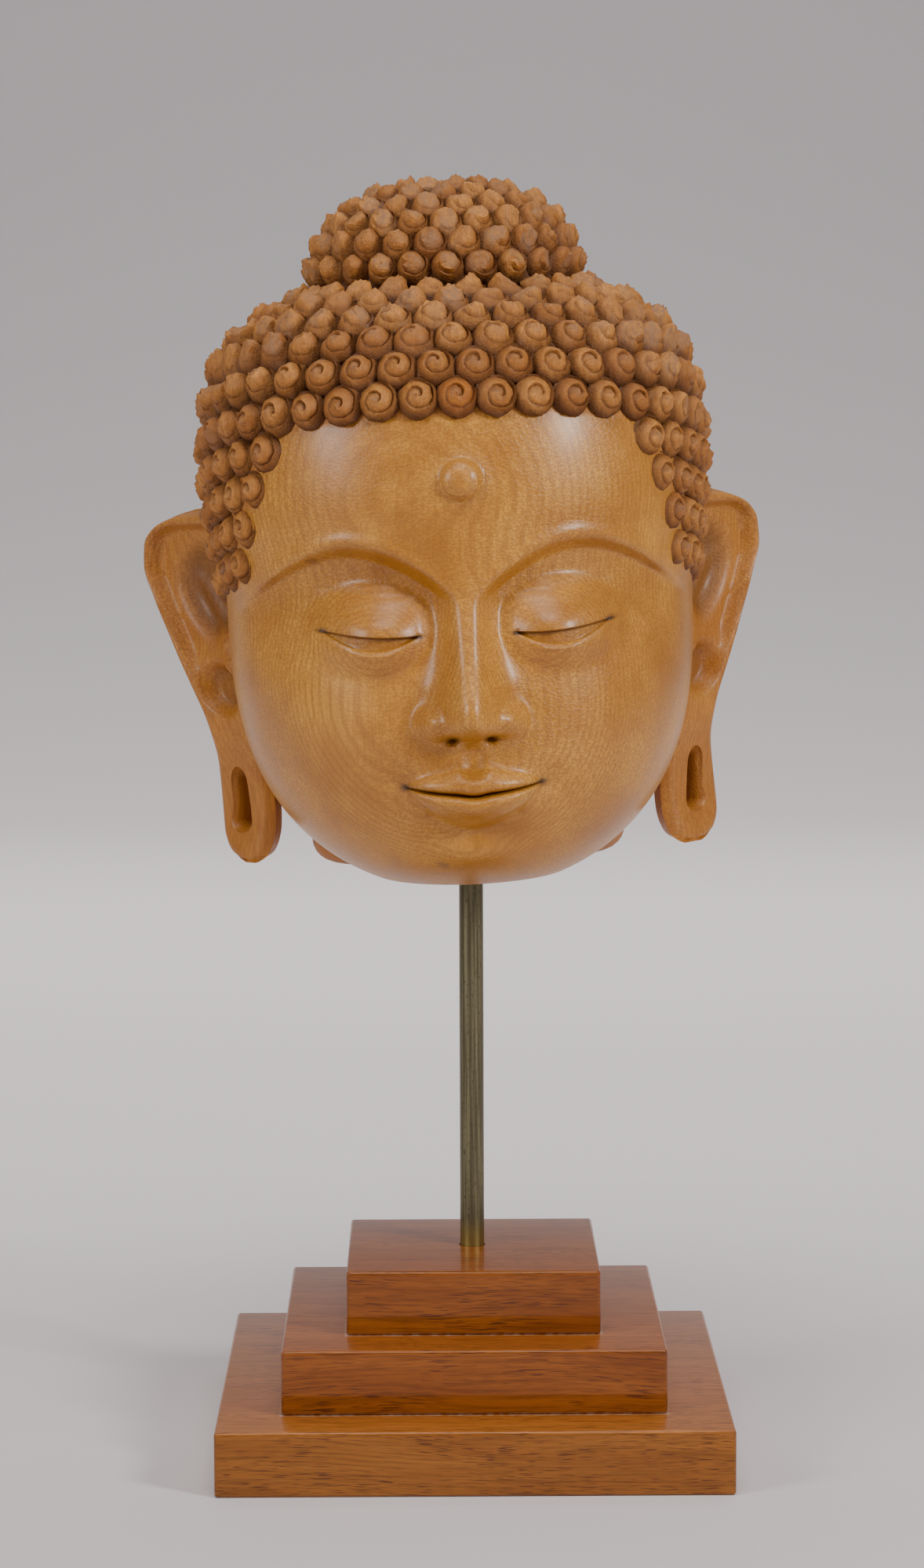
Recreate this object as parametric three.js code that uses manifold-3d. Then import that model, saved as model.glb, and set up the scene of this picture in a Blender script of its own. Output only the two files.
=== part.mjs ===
// A carved wooden Buddha head with snail curls and pierced ear lobes, held up by a brass rod
// that stands in a stepped base of three boards. Millimetres, +Z up. The origin is the centre
// of the base's underside, and the face looks along -Y.
import * as THREE from "three";
import { mergeVertices } from "three/addons/utils/BufferGeometryUtils.js";
import Module from "manifold-3d";

const wasm = await Module();
wasm.setup();

// Stepped base
const bottomStepWidth = 152.4;
const middleStepWidth = 114.3;
const topStepWidth = 76.2;
const stepThickness = 19.5;
const stepEdgeRound = 0.9;

// Rod
const rodDiameter = 7.4;
const rodClearance = 0.3;
const rodShownLength = 120;
const rodSeatInMiddleStep = 12;
const rodSeatInHead = 60;
const rodChamfer = 0.6;
const rodSides = 20;

// Head: its pose on the rod, and the face's height from the chin to the hairline
const faceHeight = 139;
const headLeanDegrees = 2.3;
const headTurnDegrees = 1.2;
const neckCentreBehindRod = -4;

// Everything carved is measured in fingers, the old canon's unit: a face is twelve fingers
// high, in three equal parts, and five eyes wide. Heights count from the chin.
const finger = faceHeight / 12;
const hairline = 12;
const browLine = 8;
const noseBase = 4;
const eyeWidth = 2.4;
const mouthHalfWidth = 1.7;
const urnaHeight = 10.35;
const urnaRadius = 0.55;
const neckUnderside = 0.15;
const neckHalfWidth = 4.15;
const neckHalfDepth = 2.9;
const neckCentre = 1.3;

// Skull
const faceHalfWidth = 6.05;
const skullHalfWidth = 6.35;
const skullFront = 6.65;
const skullBack = 6.9;
const skullEquator = 10.3;
const crownHeight = 4.85;
const crownPower = 3;
const faceSquareness = 2.2;

// Hair
const curlPitch = 0.98;
const curlPitchBehind = 1.3;
const rowPitch = 0.86;
const curlProud = 0.5;
const hairTiltDegrees = 11;
const rowsAboveHairline = 6;
const rowsBelowHairline = 9;
const lastSideburnRow = 4;
const topknotRadius = 3.4;
const topknotHeight = 2.4;
const topknotBase = 14.85;
const topknotRows = 6;

// Ears
const earTop = 9.62;
const earBottom = 0.32;
const earSlant = 1.1;
const lobeThickness = 0.75;
const lobeSlotLength = 1.5;
const lobeSlotWidth = 0.48;
const lobeSlotHeight = 1.95;

const woodPale = 0xc08a45;
const woodRed = 0x9c5420;
const brassAged = 0x77714f;

const radians = THREE.MathUtils.degToRad;
const { clamp, lerp, smoothstep } = THREE.MathUtils;
const bell = (x, z, cx, cz, sx, sz) => Math.exp(-(((x - cx) / sx) ** 2) - ((z - cz) / sz) ** 2);

// A smooth curve through [position, value] stations, flat beyond its ends.
function through(stations) {
  const slope = (a, b) => (b[1] - a[1]) / (b[0] - a[0]);
  const slopes = stations.map((s, i) => {
    if (i === 0 || i === stations.length - 1) return 0;
    const before = slope(stations[i - 1], s);
    const after = slope(s, stations[i + 1]);
    return before * after <= 0 ? 0 : (2 * before * after) / (before + after);
  });
  slopes[0] = slope(stations[0], stations[1]);
  slopes[stations.length - 1] = slope(stations.at(-2), stations.at(-1));
  return (at) => {
    const x = clamp(at, stations[0][0], stations.at(-1)[0]);
    const i = Math.max(1, stations.findIndex((s) => s[0] >= x));
    const [x0, y0] = stations[i - 1];
    const [x1, y1] = stations[i];
    const w = x1 - x0;
    const t = (x - x0) / w;
    return (
      y0 * (1 + 2 * t) * (1 - t) ** 2 +
      slopes[i - 1] * w * t * (1 - t) ** 2 +
      y1 * t * t * (3 - 2 * t) +
      slopes[i] * w * t * t * (t - 1)
    );
  };
}

// Skins a stack of rings, lowest first, each an array of { at, x, y, z } going round
// counter-clockwise as seen from above, with at rising from 0 towards 1. Rings may differ in
// count. A ring of one point closes an end, and any other end is closed by a fan.
function skin(rings) {
  const points = rings.flat();
  const starts = rings.map((_, i) => rings.slice(0, i).reduce((sum, r) => sum + r.length, 0));
  const triangles = [];
  const next = (ring, i) => ring[i % ring.length].at + Math.floor(i / ring.length);
  for (let r = 0; r + 1 < rings.length; r++) {
    const [low, high] = [rings[r], rings[r + 1]];
    const lowIndex = (i) => starts[r] + (i % low.length);
    const highIndex = (j) => starts[r + 1] + (j % high.length);
    const lowSteps = low.length > 1 ? low.length : 0;
    const highSteps = high.length > 1 ? high.length : 0;
    let [i, j] = [0, 0];
    while (i < lowSteps || j < highSteps) {
      const lowFirst = j >= highSteps || (i < lowSteps && next(low, i + 1) <= next(high, j + 1));
      if (lowFirst) {
        triangles.push(lowIndex(i), lowIndex(i + 1), highIndex(j));
        i++;
      } else {
        triangles.push(lowIndex(i), highIndex(j + 1), highIndex(j));
        j++;
      }
    }
  }
  for (const [r, upwards] of [[0, false], [rings.length - 1, true]]) {
    const ring = rings[r];
    if (ring.length === 1) continue;
    const centre = { x: 0, y: 0, z: 0 };
    for (const axis of ["x", "y", "z"]) {
      centre[axis] = ring.reduce((sum, p) => sum + p[axis], 0) / ring.length;
    }
    points.push(centre);
    ring.forEach((_, i) => {
      const [a, b] = [starts[r] + i, starts[r] + ((i + 1) % ring.length)];
      triangles.push(points.length - 1, ...(upwards ? [a, b] : [b, a]));
    });
  }
  const positions = points.flatMap((p) => [p.x * finger, p.y * finger, p.z * finger]);
  return new THREE.BufferGeometry()
    .setAttribute("position", new THREE.Float32BufferAttribute(positions, 3))
    .setIndex(triangles);
}

function solidOf(geometry) {
  const bare = geometry.clone();
  bare.deleteAttribute("normal");
  bare.deleteAttribute("uv");
  const merged = mergeVertices(bare, 1e-4);
  return new wasm.Manifold(
    new wasm.Mesh({
      numProp: 3,
      vertProperties: merged.attributes.position.array,
      triVerts: new Uint32Array(merged.index.array),
    }),
  );
}

function geometryOf(solid) {
  const mesh = solid.getMesh();
  return new THREE.BufferGeometry()
    .setAttribute("position", new THREE.BufferAttribute(mesh.vertProperties, 3))
    .setIndex(new THREE.BufferAttribute(mesh.triVerts, 1))
    .toNonIndexed();
}

// The skull's cross-section at a height: its half-width and how far it reaches in front and
// behind. Below the equator it narrows to an egg's round end, and above it closes in a crown.
const egg = (z, power) => Math.sqrt(Math.max(1 - (Math.max(7.5 - z, 0) / 8) ** power, 0));
const backBelow = through([[0, 3.6], [2, 5], [5, 6.1], [8, 6.75], [skullEquator, skullBack]]);
function section(z) {
  if (z > skullEquator) {
    const rise = Math.min((z - skullEquator) / crownHeight, 1);
    const share = (1 - rise ** crownPower) ** (1 / crownPower);
    return { width: skullHalfWidth * share, front: skullFront * share, back: skullBack * share };
  }
  const wider = smoothstep(z, 7, skullEquator);
  return {
    width: lerp(faceHalfWidth, skullHalfWidth, wider) * egg(z, 3),
    front: lerp(skullFront - 0.15, skullFront, wider) * egg(z, 6.5),
    back: backBelow(z) * egg(z, 9),
  };
}

// A point on a section, at an angle from the front towards +X.
function onSection({ width, front, back }, angle) {
  const power = 2 / (Math.cos(angle) > 0 ? faceSquareness : 2);
  const sine = Math.sign(Math.sin(angle)) * Math.abs(Math.sin(angle)) ** power;
  const cosine = Math.abs(Math.cos(angle)) ** power;
  return {
    x: width * sine,
    y: (Math.cos(angle) > 0 ? -front : back) * cosine,
  };
}

// The face is carved along guide lines, heights that change with the distance x from its
// middle: the lips, the lids and the brow. The skin's levels follow them.
const eye = { x: eyeWidth, inner: eyeWidth / 2, outer: eyeWidth * 1.5, z: browLine - 1.45 };
const across = (x) => clamp(x / mouthHalfWidth, 0, 1);
const mouthLine = (x) => 2.62 + 0.2 * across(x) ** 2 - 0.05 * bell(x, 0, 0, 0, 0.3, 1);
const lipFullness = (x) => (1 - across(x) ** 2) ** 0.75;
const upperLip = (x) => mouthLine(x) + 0.56 * lipFullness(x) + 0.07 * bell(x, 0, 0.42, 0, 0.26, 1);
const lowerLip = (x) => mouthLine(x) - 0.74 * lipFullness(x);
const eyeShare = (x) => clamp((x - eye.inner) / (eye.outer - eye.inner), 0, 1);
const eyeOpening = (x) => 4 * eyeShare(x) * (1 - eyeShare(x));
const lidLine = (x) => eye.z + 0.2 * eyeShare(x) - 0.08 * eyeOpening(x);
const lowerLid = (x) => lidLine(x) - 0.36 * eyeOpening(x);
const brow = (x) => browLine - 0.7 + 1.5 * Math.cos(1.57 * clamp((x - 2.9) / 2.9, -1, 1));

const noseProfile = through([
  [noseBase - 0.3, 0], [noseBase, 0.55], [noseBase + 0.15, 1.1], [noseBase + 0.45, 1.42],
  [noseBase + 0.9, 1.38], [browLine - 2, 0.86], [browLine - 1, 0.48], [browLine, 0.2],
  [browLine + 1.2, 0],
]);
const noseBreadth = through([
  [noseBase, 0.6], [noseBase + 0.6, 0.62], [browLine - 2, 0.45], [browLine - 0.8, 0.42],
  [browLine, 0.6],
]);

function browAndSocket(x, z) {
  const below = brow(x) - z;
  const inside = smoothstep(x, 0.1, 1) * (1 - smoothstep(x, 4.4, 6));
  return -0.4 * inside * smoothstep(below, -0.05, 0.5) * (1 - smoothstep(below, 0.9, 2.9));
}

function eyelids(x, z) {
  const r = Math.hypot((x - eye.x) / 1.65, (z - eye.z - 0.2) / 1.15);
  const ball = 0.46 * Math.max(0, 1 - r * r) ** 1.2;
  const above = z - lidLine(x);
  const upper = 0.1 * eyeOpening(x) * smoothstep(above, -0.04, 0.02) * (1 - smoothstep(above, 0.1, 0.6));
  const ballShows = smoothstep(Math.min(-above, z - lowerLid(x)), -0.02, 0.08);
  return ball + upper - 0.12 * ballShows;
}

function nose(x, z) {
  const bridge = noseProfile(z) * Math.exp(-((x / noseBreadth(z)) ** 2.6));
  const wing = Math.hypot((x - 0.85) / 0.52, (z - noseBase - 0.5) / 0.52);
  return bridge + 0.55 * Math.max(0, 1 - wing * wing) ** 0.9;
}

function mouth(x, z) {
  const line = mouthLine(x);
  const full = lipFullness(x);
  const edge = z > line ? upperLip(x) : lowerLip(x);
  const share = Math.abs(z - line) / (Math.abs(edge - line) + 0.001);
  const lip = share < 1 ? 0.32 * Math.sin(Math.PI * share) ** 0.7 * full : 0;
  return (
    lip +
    0.34 * bell(x, z, 0, 2.8, 2, 1.4) -
    0.16 * bell(x, z, mouthHalfWidth + 0.1, 2.84, 0.24, 0.24) -
    0.2 * bell(x, z, 0, 1.5, 1.2, 0.32) +
    0.3 * bell(x, z, 0, 0.8, 1.15, 0.7) -
    0.06 * bell(x, z, 0, 3.6, 0.18, 0.35)
  );
}

function faceRelief(signedX, z) {
  const x = Math.abs(signedX);
  const urna = Math.hypot(x, z - urnaHeight) / urnaRadius;
  return (
    browAndSocket(x, z) +
    eyelids(x, z) +
    nose(x, z) +
    mouth(x, z) +
    0.25 * bell(x, z, 3.3, 4.3, 1.8, 1.7) +
    0.42 * Math.sqrt(Math.max(0, 1 - urna * urna))
  );
}

// Skull and face in one skin. Its levels run from guide to guide, so many bands between two.
const level = (z) => () => z;
const apart = (edge, line, side) => (x) => line(x) + side * Math.max(side * (edge(x) - line(x)), 0.16);
const faceGuides = [
  [level(0.03), 2], [level(0.3), 1], [level(0.75), 1], [level(1.3), 1],
  [apart(lowerLip, mouthLine, -1), 2], [mouthLine, 2], [apart(upperLip, mouthLine, 1), 2],
  [level(noseBase - 0.1), 1], [level(noseBase + 0.12), 1], [level(noseBase + 0.4), 1],
  [level(noseBase + 0.9), 2], [apart(lowerLid, lidLine, -1), 1], [(x) => lidLine(x) - 0.05, 1],
  [(x) => lidLine(x) + 0.03, 2], [(x) => lerp(lidLine(x), brow(x), 0.5), 2],
  [(x) => lerp(lidLine(x), brow(x), 0.8), 1], [(x) => brow(x) + 0.03, 2],
  [(x) => browLine + 1.25 + 0.25 * (brow(x) - browLine), 1], [level(browLine + 1.85), 2],
  [level(urnaHeight), 2], [level(urnaHeight + 0.5), 1], [level(hairline - 0.6), 1],
  [level(hairline + 0.1), 1], [level(hairline + 1.2), 1], [level(hairline + 2.3), 0],
];

function skullAndFace() {
  const columns = 66;
  const lines = faceGuides.flatMap(([low, bands], g) => {
    const high = faceGuides[g + 1]?.[0];
    return Array.from({ length: Math.max(bands, 1) }, (_, i) => [low, high ?? low, i / Math.max(bands, 1)]);
  });
  const rings = lines.map(([low, high, share]) =>
    Array.from({ length: columns }, (_, i) => {
      const t = (2 * i) / columns;
      const half = t <= 1 ? t : t - 2;
      const angle = Math.PI * (0.42 * half + 0.58 * half ** 3);
      let z = lerp(low(0), high(0), share);
      let p = onSection(section(z), angle);
      for (let turn = 0; turn < 4; turn++) {
        const x = Math.cos(angle) > 0 ? Math.abs(p.x) : faceHalfWidth;
        z = lerp(low(x), high(x), share);
        p = onSection(section(z), angle);
      }
      const facing = smoothstep(Math.cos(angle), 0.05, 0.45);
      return { at: i / columns, x: p.x, y: p.y - facing * faceRelief(p.x, z), z };
    }),
  );
  return skin([[{ at: 0, x: 0, y: -1, z: 0 }], ...rings]);
}

// The neck's stump, an oval with a rounded lower edge, cut off level with the chin.
function neck() {
  const edge = 0.6;
  const rings = [0, 0.25, 0.5, 0.75, 1].map((t) => ({
    inset: edge * (1 - Math.sin((t * Math.PI) / 2)),
    z: neckUnderside + edge * (1 - Math.cos((t * Math.PI) / 2)),
  }));
  rings.push({ inset: 0, z: 4 });
  return skin(
    rings.map(({ inset, z }) =>
      Array.from({ length: 28 }, (_, i) => {
        const angle = (2 * Math.PI * i) / 28;
        return {
          at: i / 28,
          x: (neckHalfWidth - inset) * Math.sin(angle),
          y: neckCentre - (neckHalfDepth - inset) * Math.cos(angle),
          z,
        };
      }),
    ),
  );
}

// Rows of snail curls. Each curl is a pointed knob that shares its valleys with its neighbours.
// A row counts its length in curls, which widen towards the back.
function ringPlaces(count, stagger, placeAt) {
  const fine = 180;
  const path = Array.from({ length: fine + 1 }, (_, i) => placeAt((2 * Math.PI * i) / fine));
  const along = [0];
  for (let i = 1; i <= fine; i++) {
    const [a, b] = [path[i - 1], path[i]];
    const behind = smoothstep(-Math.cos((2 * Math.PI * (i - 0.5)) / fine), 0, 0.8);
    const step = Math.hypot(b.x - a.x, b.y - a.y, b.z - a.z);
    along.push(along[i - 1] + step / lerp(curlPitch, curlPitchBehind, behind));
  }
  const angleAt = (share) => {
    const target = share * along[fine];
    const i = Math.max(1, along.findIndex((d) => d >= target));
    const t = (target - along[i - 1]) / (along[i] - along[i - 1]);
    return (2 * Math.PI * (i - 1 + t)) / fine;
  };
  return {
    length: along[fine],
    angles: Array.from({ length: count }, (_, i) => angleAt((i + stagger) / count)),
  };
}

// Every row, with its height at the front and how steeply it drops towards the back.
function rowsOfHair() {
  const rows = [];
  const tilt = Math.tan(radians(hairTiltDegrees));
  // Above the hairline the rows climb the crown by equal steps of its outline.
  const crown = (lift) => {
    const rise = Math.sin(lift) ** (2 / crownPower);
    const share = Math.cos(lift) ** (2 / crownPower);
    return { z: skullEquator + crownHeight * rise, share };
  };
  const frontRow = hairline + rowPitch / 2;
  const firstLift = Math.asin(((frontRow - skullEquator) / crownHeight) ** (crownPower / 2));
  const lifts = [firstLift];
  while (lifts.length < rowsAboveHairline) {
    const from = crown(lifts.at(-1));
    let lift = lifts.at(-1);
    const gone = (to) => Math.hypot(to.z - from.z, (to.share - from.share) * skullFront);
    while (gone(crown(lift)) < rowPitch) lift += 0.002;
    lifts.push(lift);
  }
  for (let row = -rowsBelowHairline; row < rowsAboveHairline; row++) {
    const below = frontRow + Math.min(row, 0) * rowPitch;
    const rowTilt = tilt * (row > 0 ? 1 - row / rowsAboveHairline : 1);
    const z = row > 0 ? crown(lifts[row]).z : below;
    rows.push({ row, z, rowTilt });
  }
  return rows;
}

// A place on the scalp, or above it, on a row that tilts down towards the back.
function hairPlace(row, angle, proud = 0, climb = 0) {
  const lowered = (y) => (y + skullFront) * row.rowTilt;
  let z = row.z;
  let p = onSection(section(z), angle);
  for (let i = 0; i < 6; i++) {
    z = row.z - lowered(p.y);
    p = onSection(section(z), angle);
  }
  const rise = clamp((z - skullEquator) / crownHeight, 0, 1);
  const up = rise ** (crownPower - 1) / crownHeight;
  const side = Math.max(1 - rise ** crownPower, 0) ** ((crownPower - 1) / crownPower) / skullHalfWidth;
  const steep = Math.hypot(up, side);
  const reach = Math.hypot(p.x, p.y) || 1;
  const [nx, ny, nz] = [((p.x / reach) * side) / steep, ((p.y / reach) * side) / steep, up / steep];
  const [ux, uy, uz] = [(-p.x / reach) * nz, (-p.y / reach) * nz, side / steep];
  return {
    x: p.x + nx * proud + ux * climb,
    y: p.y + ny * proud + uy * climb,
    z: z + nz * proud + uz * climb,
  };
}

// How far round from the front the hair of a row starts: nowhere above the hairline, at the
// temple down to the end of the sideburns, and behind the ear below them.
function hairStart(row) {
  if (row >= 0) return 0;
  if (-row > lastSideburnRow) return radians(104);
  return radians(47 + 5.2 * (-row - 1));
}

function hairCap() {
  const inside = 0.82;
  const rings = [];
  const addRing = (row, count, stagger, form) => {
    const { angles } = ringPlaces(count, stagger, (angle) => hairPlace(row, angle));
    const start = hairStart(row.row);
    const ring = angles.map((angle, i) => {
      const at = angle / (2 * Math.PI);
      const fromFront = Math.min(angle, 2 * Math.PI - angle);
      if (fromFront >= start) return { at, ...form(angle, i) };
      const p = hairPlace(row, angle);
      return { at, x: p.x * inside, y: p.y * inside, z: p.z };
    });
    rings.push(ring.sort((a, b) => a.at - b.at));
  };
  rowsOfHair().forEach((row, r) => {
    const { length } = ringPlaces(1, 0, (angle) => hairPlace(row, angle));
    const count = Math.round(length);
    const stagger = (r % 2) / 2;
    const half = rowPitch / 2;
    const valley = (angle) => hairPlace(row, angle, 0.1, -half);
    const curl = (angle, i) =>
      i % 2 ? hairPlace(row, angle, 0.16, 0.1) : hairPlace(row, angle, curlProud, 0.06);
    addRing(row, count, stagger + 0.5, valley);
    addRing(row, 2 * count, 2 * stagger, curl);
  });
  return skin(rings);
}

// The topknot, a low dome of curls that overhangs the crown a little.
function topknot() {
  const rings = [];
  const place = (lift, angle, proud) => {
    const reach = topknotRadius * Math.cos(lift) ** 0.8 + proud * Math.cos(lift);
    return {
      x: reach * Math.sin(angle),
      y: 0.35 - reach * Math.cos(angle),
      z: topknotBase + 0.35 + topknotHeight * Math.sin(lift) ** 0.9 + proud * Math.sin(lift),
    };
  };
  const ringAt = (lift, count, stagger, form) =>
    Array.from({ length: count }, (_, i) => {
      const at = (i + stagger) / count;
      return { at, ...place(lift, 2 * Math.PI * at, form(i)) };
    });
  rings.push(
    Array.from({ length: 22 }, (_, i) => {
      const angle = (2 * Math.PI * i) / 22;
      const reach = topknotRadius - 0.25;
      return {
        at: i / 22,
        x: reach * Math.sin(angle),
        y: 0.35 - reach * Math.cos(angle),
        z: topknotBase - 1,
      };
    }),
  );
  for (let row = 0; row < topknotRows; row++) {
    const lift = (0.08 + (row / topknotRows) * 0.92) * (Math.PI / 2);
    const round = 2 * Math.PI * topknotRadius * Math.cos(lift) ** 0.8;
    const count = Math.max(5, Math.round(round / curlPitch));
    const stagger = (row % 2) / 2;
    const half = (Math.PI / 2 / topknotRows) * 0.46;
    rings.push(ringAt(Math.max(lift - half, 0), count, 0.25, () => 0.05));
    rings.push(ringAt(lift + 0.03, 2 * count, stagger, (i) => (i % 2 ? 0.12 : curlProud)));
  }
  rings.push([{ at: 0, x: 0, y: 0.35, z: topknotBase + 0.35 + topknotHeight + 0.15 }]);
  return skin(rings);
}

// An ear as a stack of sections from the lobe up, each from its root at the head to its rim,
// which flares out and back. Heights here are shares of the ear's own. Side is 1 on the +X
// side and -1 on the other.
const earRim = through([
  [0, 5.95], [0.03, 6.28], [0.12, 6.37], [0.27, 6.37], [0.39, 6.56], [0.5, 6.87],
  [0.63, 7.31], [0.77, 7.78], [0.89, 8.02], [0.94, 7.95], [0.98, 7.62], [1, 7],
]);
const earRoot = through([[0, 5.6], [0.04, 5.15], [0.14, 5], [0.25, 5.1], [0.36, 5.4], [1, 5.85]]);
const earThickness = through([
  [0, 0.3], [0.05, lobeThickness], [0.3, lobeThickness], [0.6, 0.85], [0.95, 0.7], [1, 0.35],
]);
const earSides = {
  left: { side: -1, flare: 0.2, lobe: -0.05 },
  right: { side: 1, flare: 0, lobe: 0.2 },
};

function earPlace({ side, flare, lobe }, share, height, depth) {
  const root = earRoot(height);
  const flared = flare * smoothstep(height, 0.15, 0.85);
  const widened = lobe * (1 - smoothstep(height, 0, 0.35));
  const out = lerp(root, earRim(height) + flared + widened, share);
  const square = Math.hypot(earSlant, 1);
  return {
    x: side * (out + (depth * earSlant) / square),
    y: lerp(0.1, 0.3, height) + earSlant * (out - root) - depth / square,
    z: lerp(earBottom, earTop, height),
  };
}

function earFront(share, height) {
  const dish = Math.hypot((share - 0.46) / 0.4, (height - 0.76) / 0.17);
  const bowl = Math.hypot((share - 0.4) / 0.38, (height - 0.5) / 0.1);
  const rounded = Math.sin(Math.PI * clamp(share, 0.03, 0.97)) ** 0.4;
  const hollow = 0.5 * smoothstep(1 - dish, 0, 0.45) + 0.36 * smoothstep(1 - bowl, 0, 0.6);
  return 0.5 * earThickness(height) * rounded - hollow;
}

function ear(form) {
  const heights = [
    0, 0.02, 0.06, 0.12, 0.19, 0.26, 0.33, 0.4, 0.45, 0.5, 0.55, 0.6, 0.65, 0.7, 0.76, 0.82,
    0.87, 0.91, 0.95, 0.98, 1,
  ];
  const shares = [0, 0.16, 0.34, 0.52, 0.7, 0.86, 1];
  const rings = heights.map((height) => {
    const front = shares.map((share) => earPlace(form, share, height, earFront(share, height)));
    const back = [0.85, 0.5, 0.15].map((share) =>
      earPlace(form, share, height, -0.5 * earThickness(height)),
    );
    const ring = [...front, ...back];
    if (form.side < 0) ring.reverse();
    return ring.map((p, i) => ({ ...p, at: i / ring.length }));
  });
  return skin(rings);
}

// The slot through an ear lobe, square to the lobe's slant.
function lobeSlot(form) {
  const outline = new THREE.Shape();
  const [half, end] = [(lobeSlotWidth / 2) * finger, ((lobeSlotLength - lobeSlotWidth) / 2) * finger];
  outline.absarc(0, end, half, 0, Math.PI);
  outline.absarc(0, -end, half, Math.PI, 2 * Math.PI);
  const depth = 2 * finger;
  const slot = new THREE.ExtrudeGeometry(outline, { depth, bevelEnabled: false, curveSegments: 4 });
  slot.translate(0, 0, -depth / 2);
  slot.rotateX(Math.PI / 2);
  slot.rotateZ(form.side * Math.atan(earSlant));
  const middle = earPlace(form, 0.5, (lobeSlotHeight - earBottom) / (earTop - earBottom), 0);
  slot.translate(middle.x * finger, middle.y * finger, middle.z * finger);
  return slot;
}

const baseHeight = 3 * stepThickness;
const rodFoot = 2 * stepThickness - rodSeatInMiddleStep;
const neckLevel = baseHeight + rodShownLength;
const rodTop = neckLevel + rodSeatInHead;
const wayIn = 1;

// The hole that the rod passes through or seats in, from one height to another.
function rodHole(low, high) {
  const radius = rodDiameter / 2 + rodClearance;
  const hole = new THREE.CylinderGeometry(radius, radius, high - low, rodSides);
  hole.rotateX(Math.PI / 2);
  hole.translate(0, 0, (low + high) / 2);
  return hole;
}

function boards() {
  const widths = {
    base_bottom_step: bottomStepWidth,
    base_middle_step: middleStepWidth,
    base_top_step: topStepWidth,
  };
  return Object.entries(widths).map(([name, width], i) => {
    const half = width / 2 - stepEdgeRound;
    const outline = new THREE.Shape();
    outline.moveTo(-half, -half);
    outline.lineTo(half, -half);
    outline.lineTo(half, half);
    outline.lineTo(-half, half);
    outline.closePath();
    const board = new THREE.ExtrudeGeometry(outline, {
      depth: stepThickness - 2 * stepEdgeRound,
      bevelSize: stepEdgeRound,
      bevelThickness: stepEdgeRound,
      bevelSegments: 3,
    });
    board.translate(0, 0, stepEdgeRound + i * stepThickness);
    const drilled = solidOf(board).subtract(solidOf(rodHole(rodFoot, baseHeight + wayIn)));
    const mesh = new THREE.Mesh(
      geometryOf(drilled),
      new THREE.MeshStandardMaterial({ color: woodRed, roughness: 0.35, metalness: 0 }),
    );
    mesh.name = name;
    return mesh;
  });
}

function rod() {
  const r = rodDiameter / 2;
  const profile = [
    new THREE.Vector2(0, rodFoot),
    new THREE.Vector2(r - rodChamfer, rodFoot),
    new THREE.Vector2(r, rodFoot + rodChamfer),
    new THREE.Vector2(r, rodTop - rodChamfer),
    new THREE.Vector2(r - rodChamfer, rodTop),
    new THREE.Vector2(0, rodTop),
  ];
  const turned = new THREE.LatheGeometry(profile, rodSides);
  turned.rotateX(Math.PI / 2);
  const mesh = new THREE.Mesh(
    turned,
    new THREE.MeshStandardMaterial({ color: brassAged, roughness: 0.4, metalness: 1 }),
  );
  mesh.name = "brass_rod";
  return mesh;
}

function head() {
  const placed = new THREE.Group();
  placed.position.set(0, neckCentreBehindRod, neckLevel - neckUnderside * finger);
  placed.rotation.set(0, radians(-headLeanDegrees), radians(headTurnDegrees), "ZYX");
  placed.updateMatrixWorld(true);

  const bore = rodHole(neckLevel - neckHalfDepth * finger, rodTop + rodClearance);
  bore.applyMatrix4(placed.matrixWorld.clone().invert());

  let solid = solidOf(skullAndFace());
  const ears = Object.values(earSides);
  const joined = [neck(), hairCap(), topknot(), ...ears.map(ear)];
  for (const geometry of joined) solid = solid.add(solidOf(geometry));
  for (const geometry of [...ears.map(lobeSlot), bore]) {
    solid = solid.subtract(solidOf(geometry));
  }
  const mesh = new THREE.Mesh(
    geometryOf(solid),
    new THREE.MeshStandardMaterial({ color: woodPale, roughness: 0.4, metalness: 0 }),
  );
  mesh.name = "buddha_head";
  placed.add(mesh);
  return placed;
}

const part = new THREE.Group();
part.add(...boards(), rod(), head());

export default part;
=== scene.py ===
import math

import bmesh
import bpy
import numpy as np
from mathutils import Matrix, Vector


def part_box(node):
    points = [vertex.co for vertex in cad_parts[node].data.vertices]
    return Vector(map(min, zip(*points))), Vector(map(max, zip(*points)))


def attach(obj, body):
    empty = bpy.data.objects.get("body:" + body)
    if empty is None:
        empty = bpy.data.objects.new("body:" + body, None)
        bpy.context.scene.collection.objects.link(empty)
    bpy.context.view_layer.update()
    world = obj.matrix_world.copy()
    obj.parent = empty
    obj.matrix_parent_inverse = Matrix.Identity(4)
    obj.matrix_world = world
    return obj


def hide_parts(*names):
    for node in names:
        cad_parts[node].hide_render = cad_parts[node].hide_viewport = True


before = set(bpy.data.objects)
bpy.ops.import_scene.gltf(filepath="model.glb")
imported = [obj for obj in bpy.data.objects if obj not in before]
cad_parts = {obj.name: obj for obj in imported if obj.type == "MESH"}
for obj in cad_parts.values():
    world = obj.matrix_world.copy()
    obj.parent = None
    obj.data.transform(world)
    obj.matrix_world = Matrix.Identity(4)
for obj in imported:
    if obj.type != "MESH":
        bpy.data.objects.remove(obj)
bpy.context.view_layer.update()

random = np.random.default_rng(7)

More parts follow.
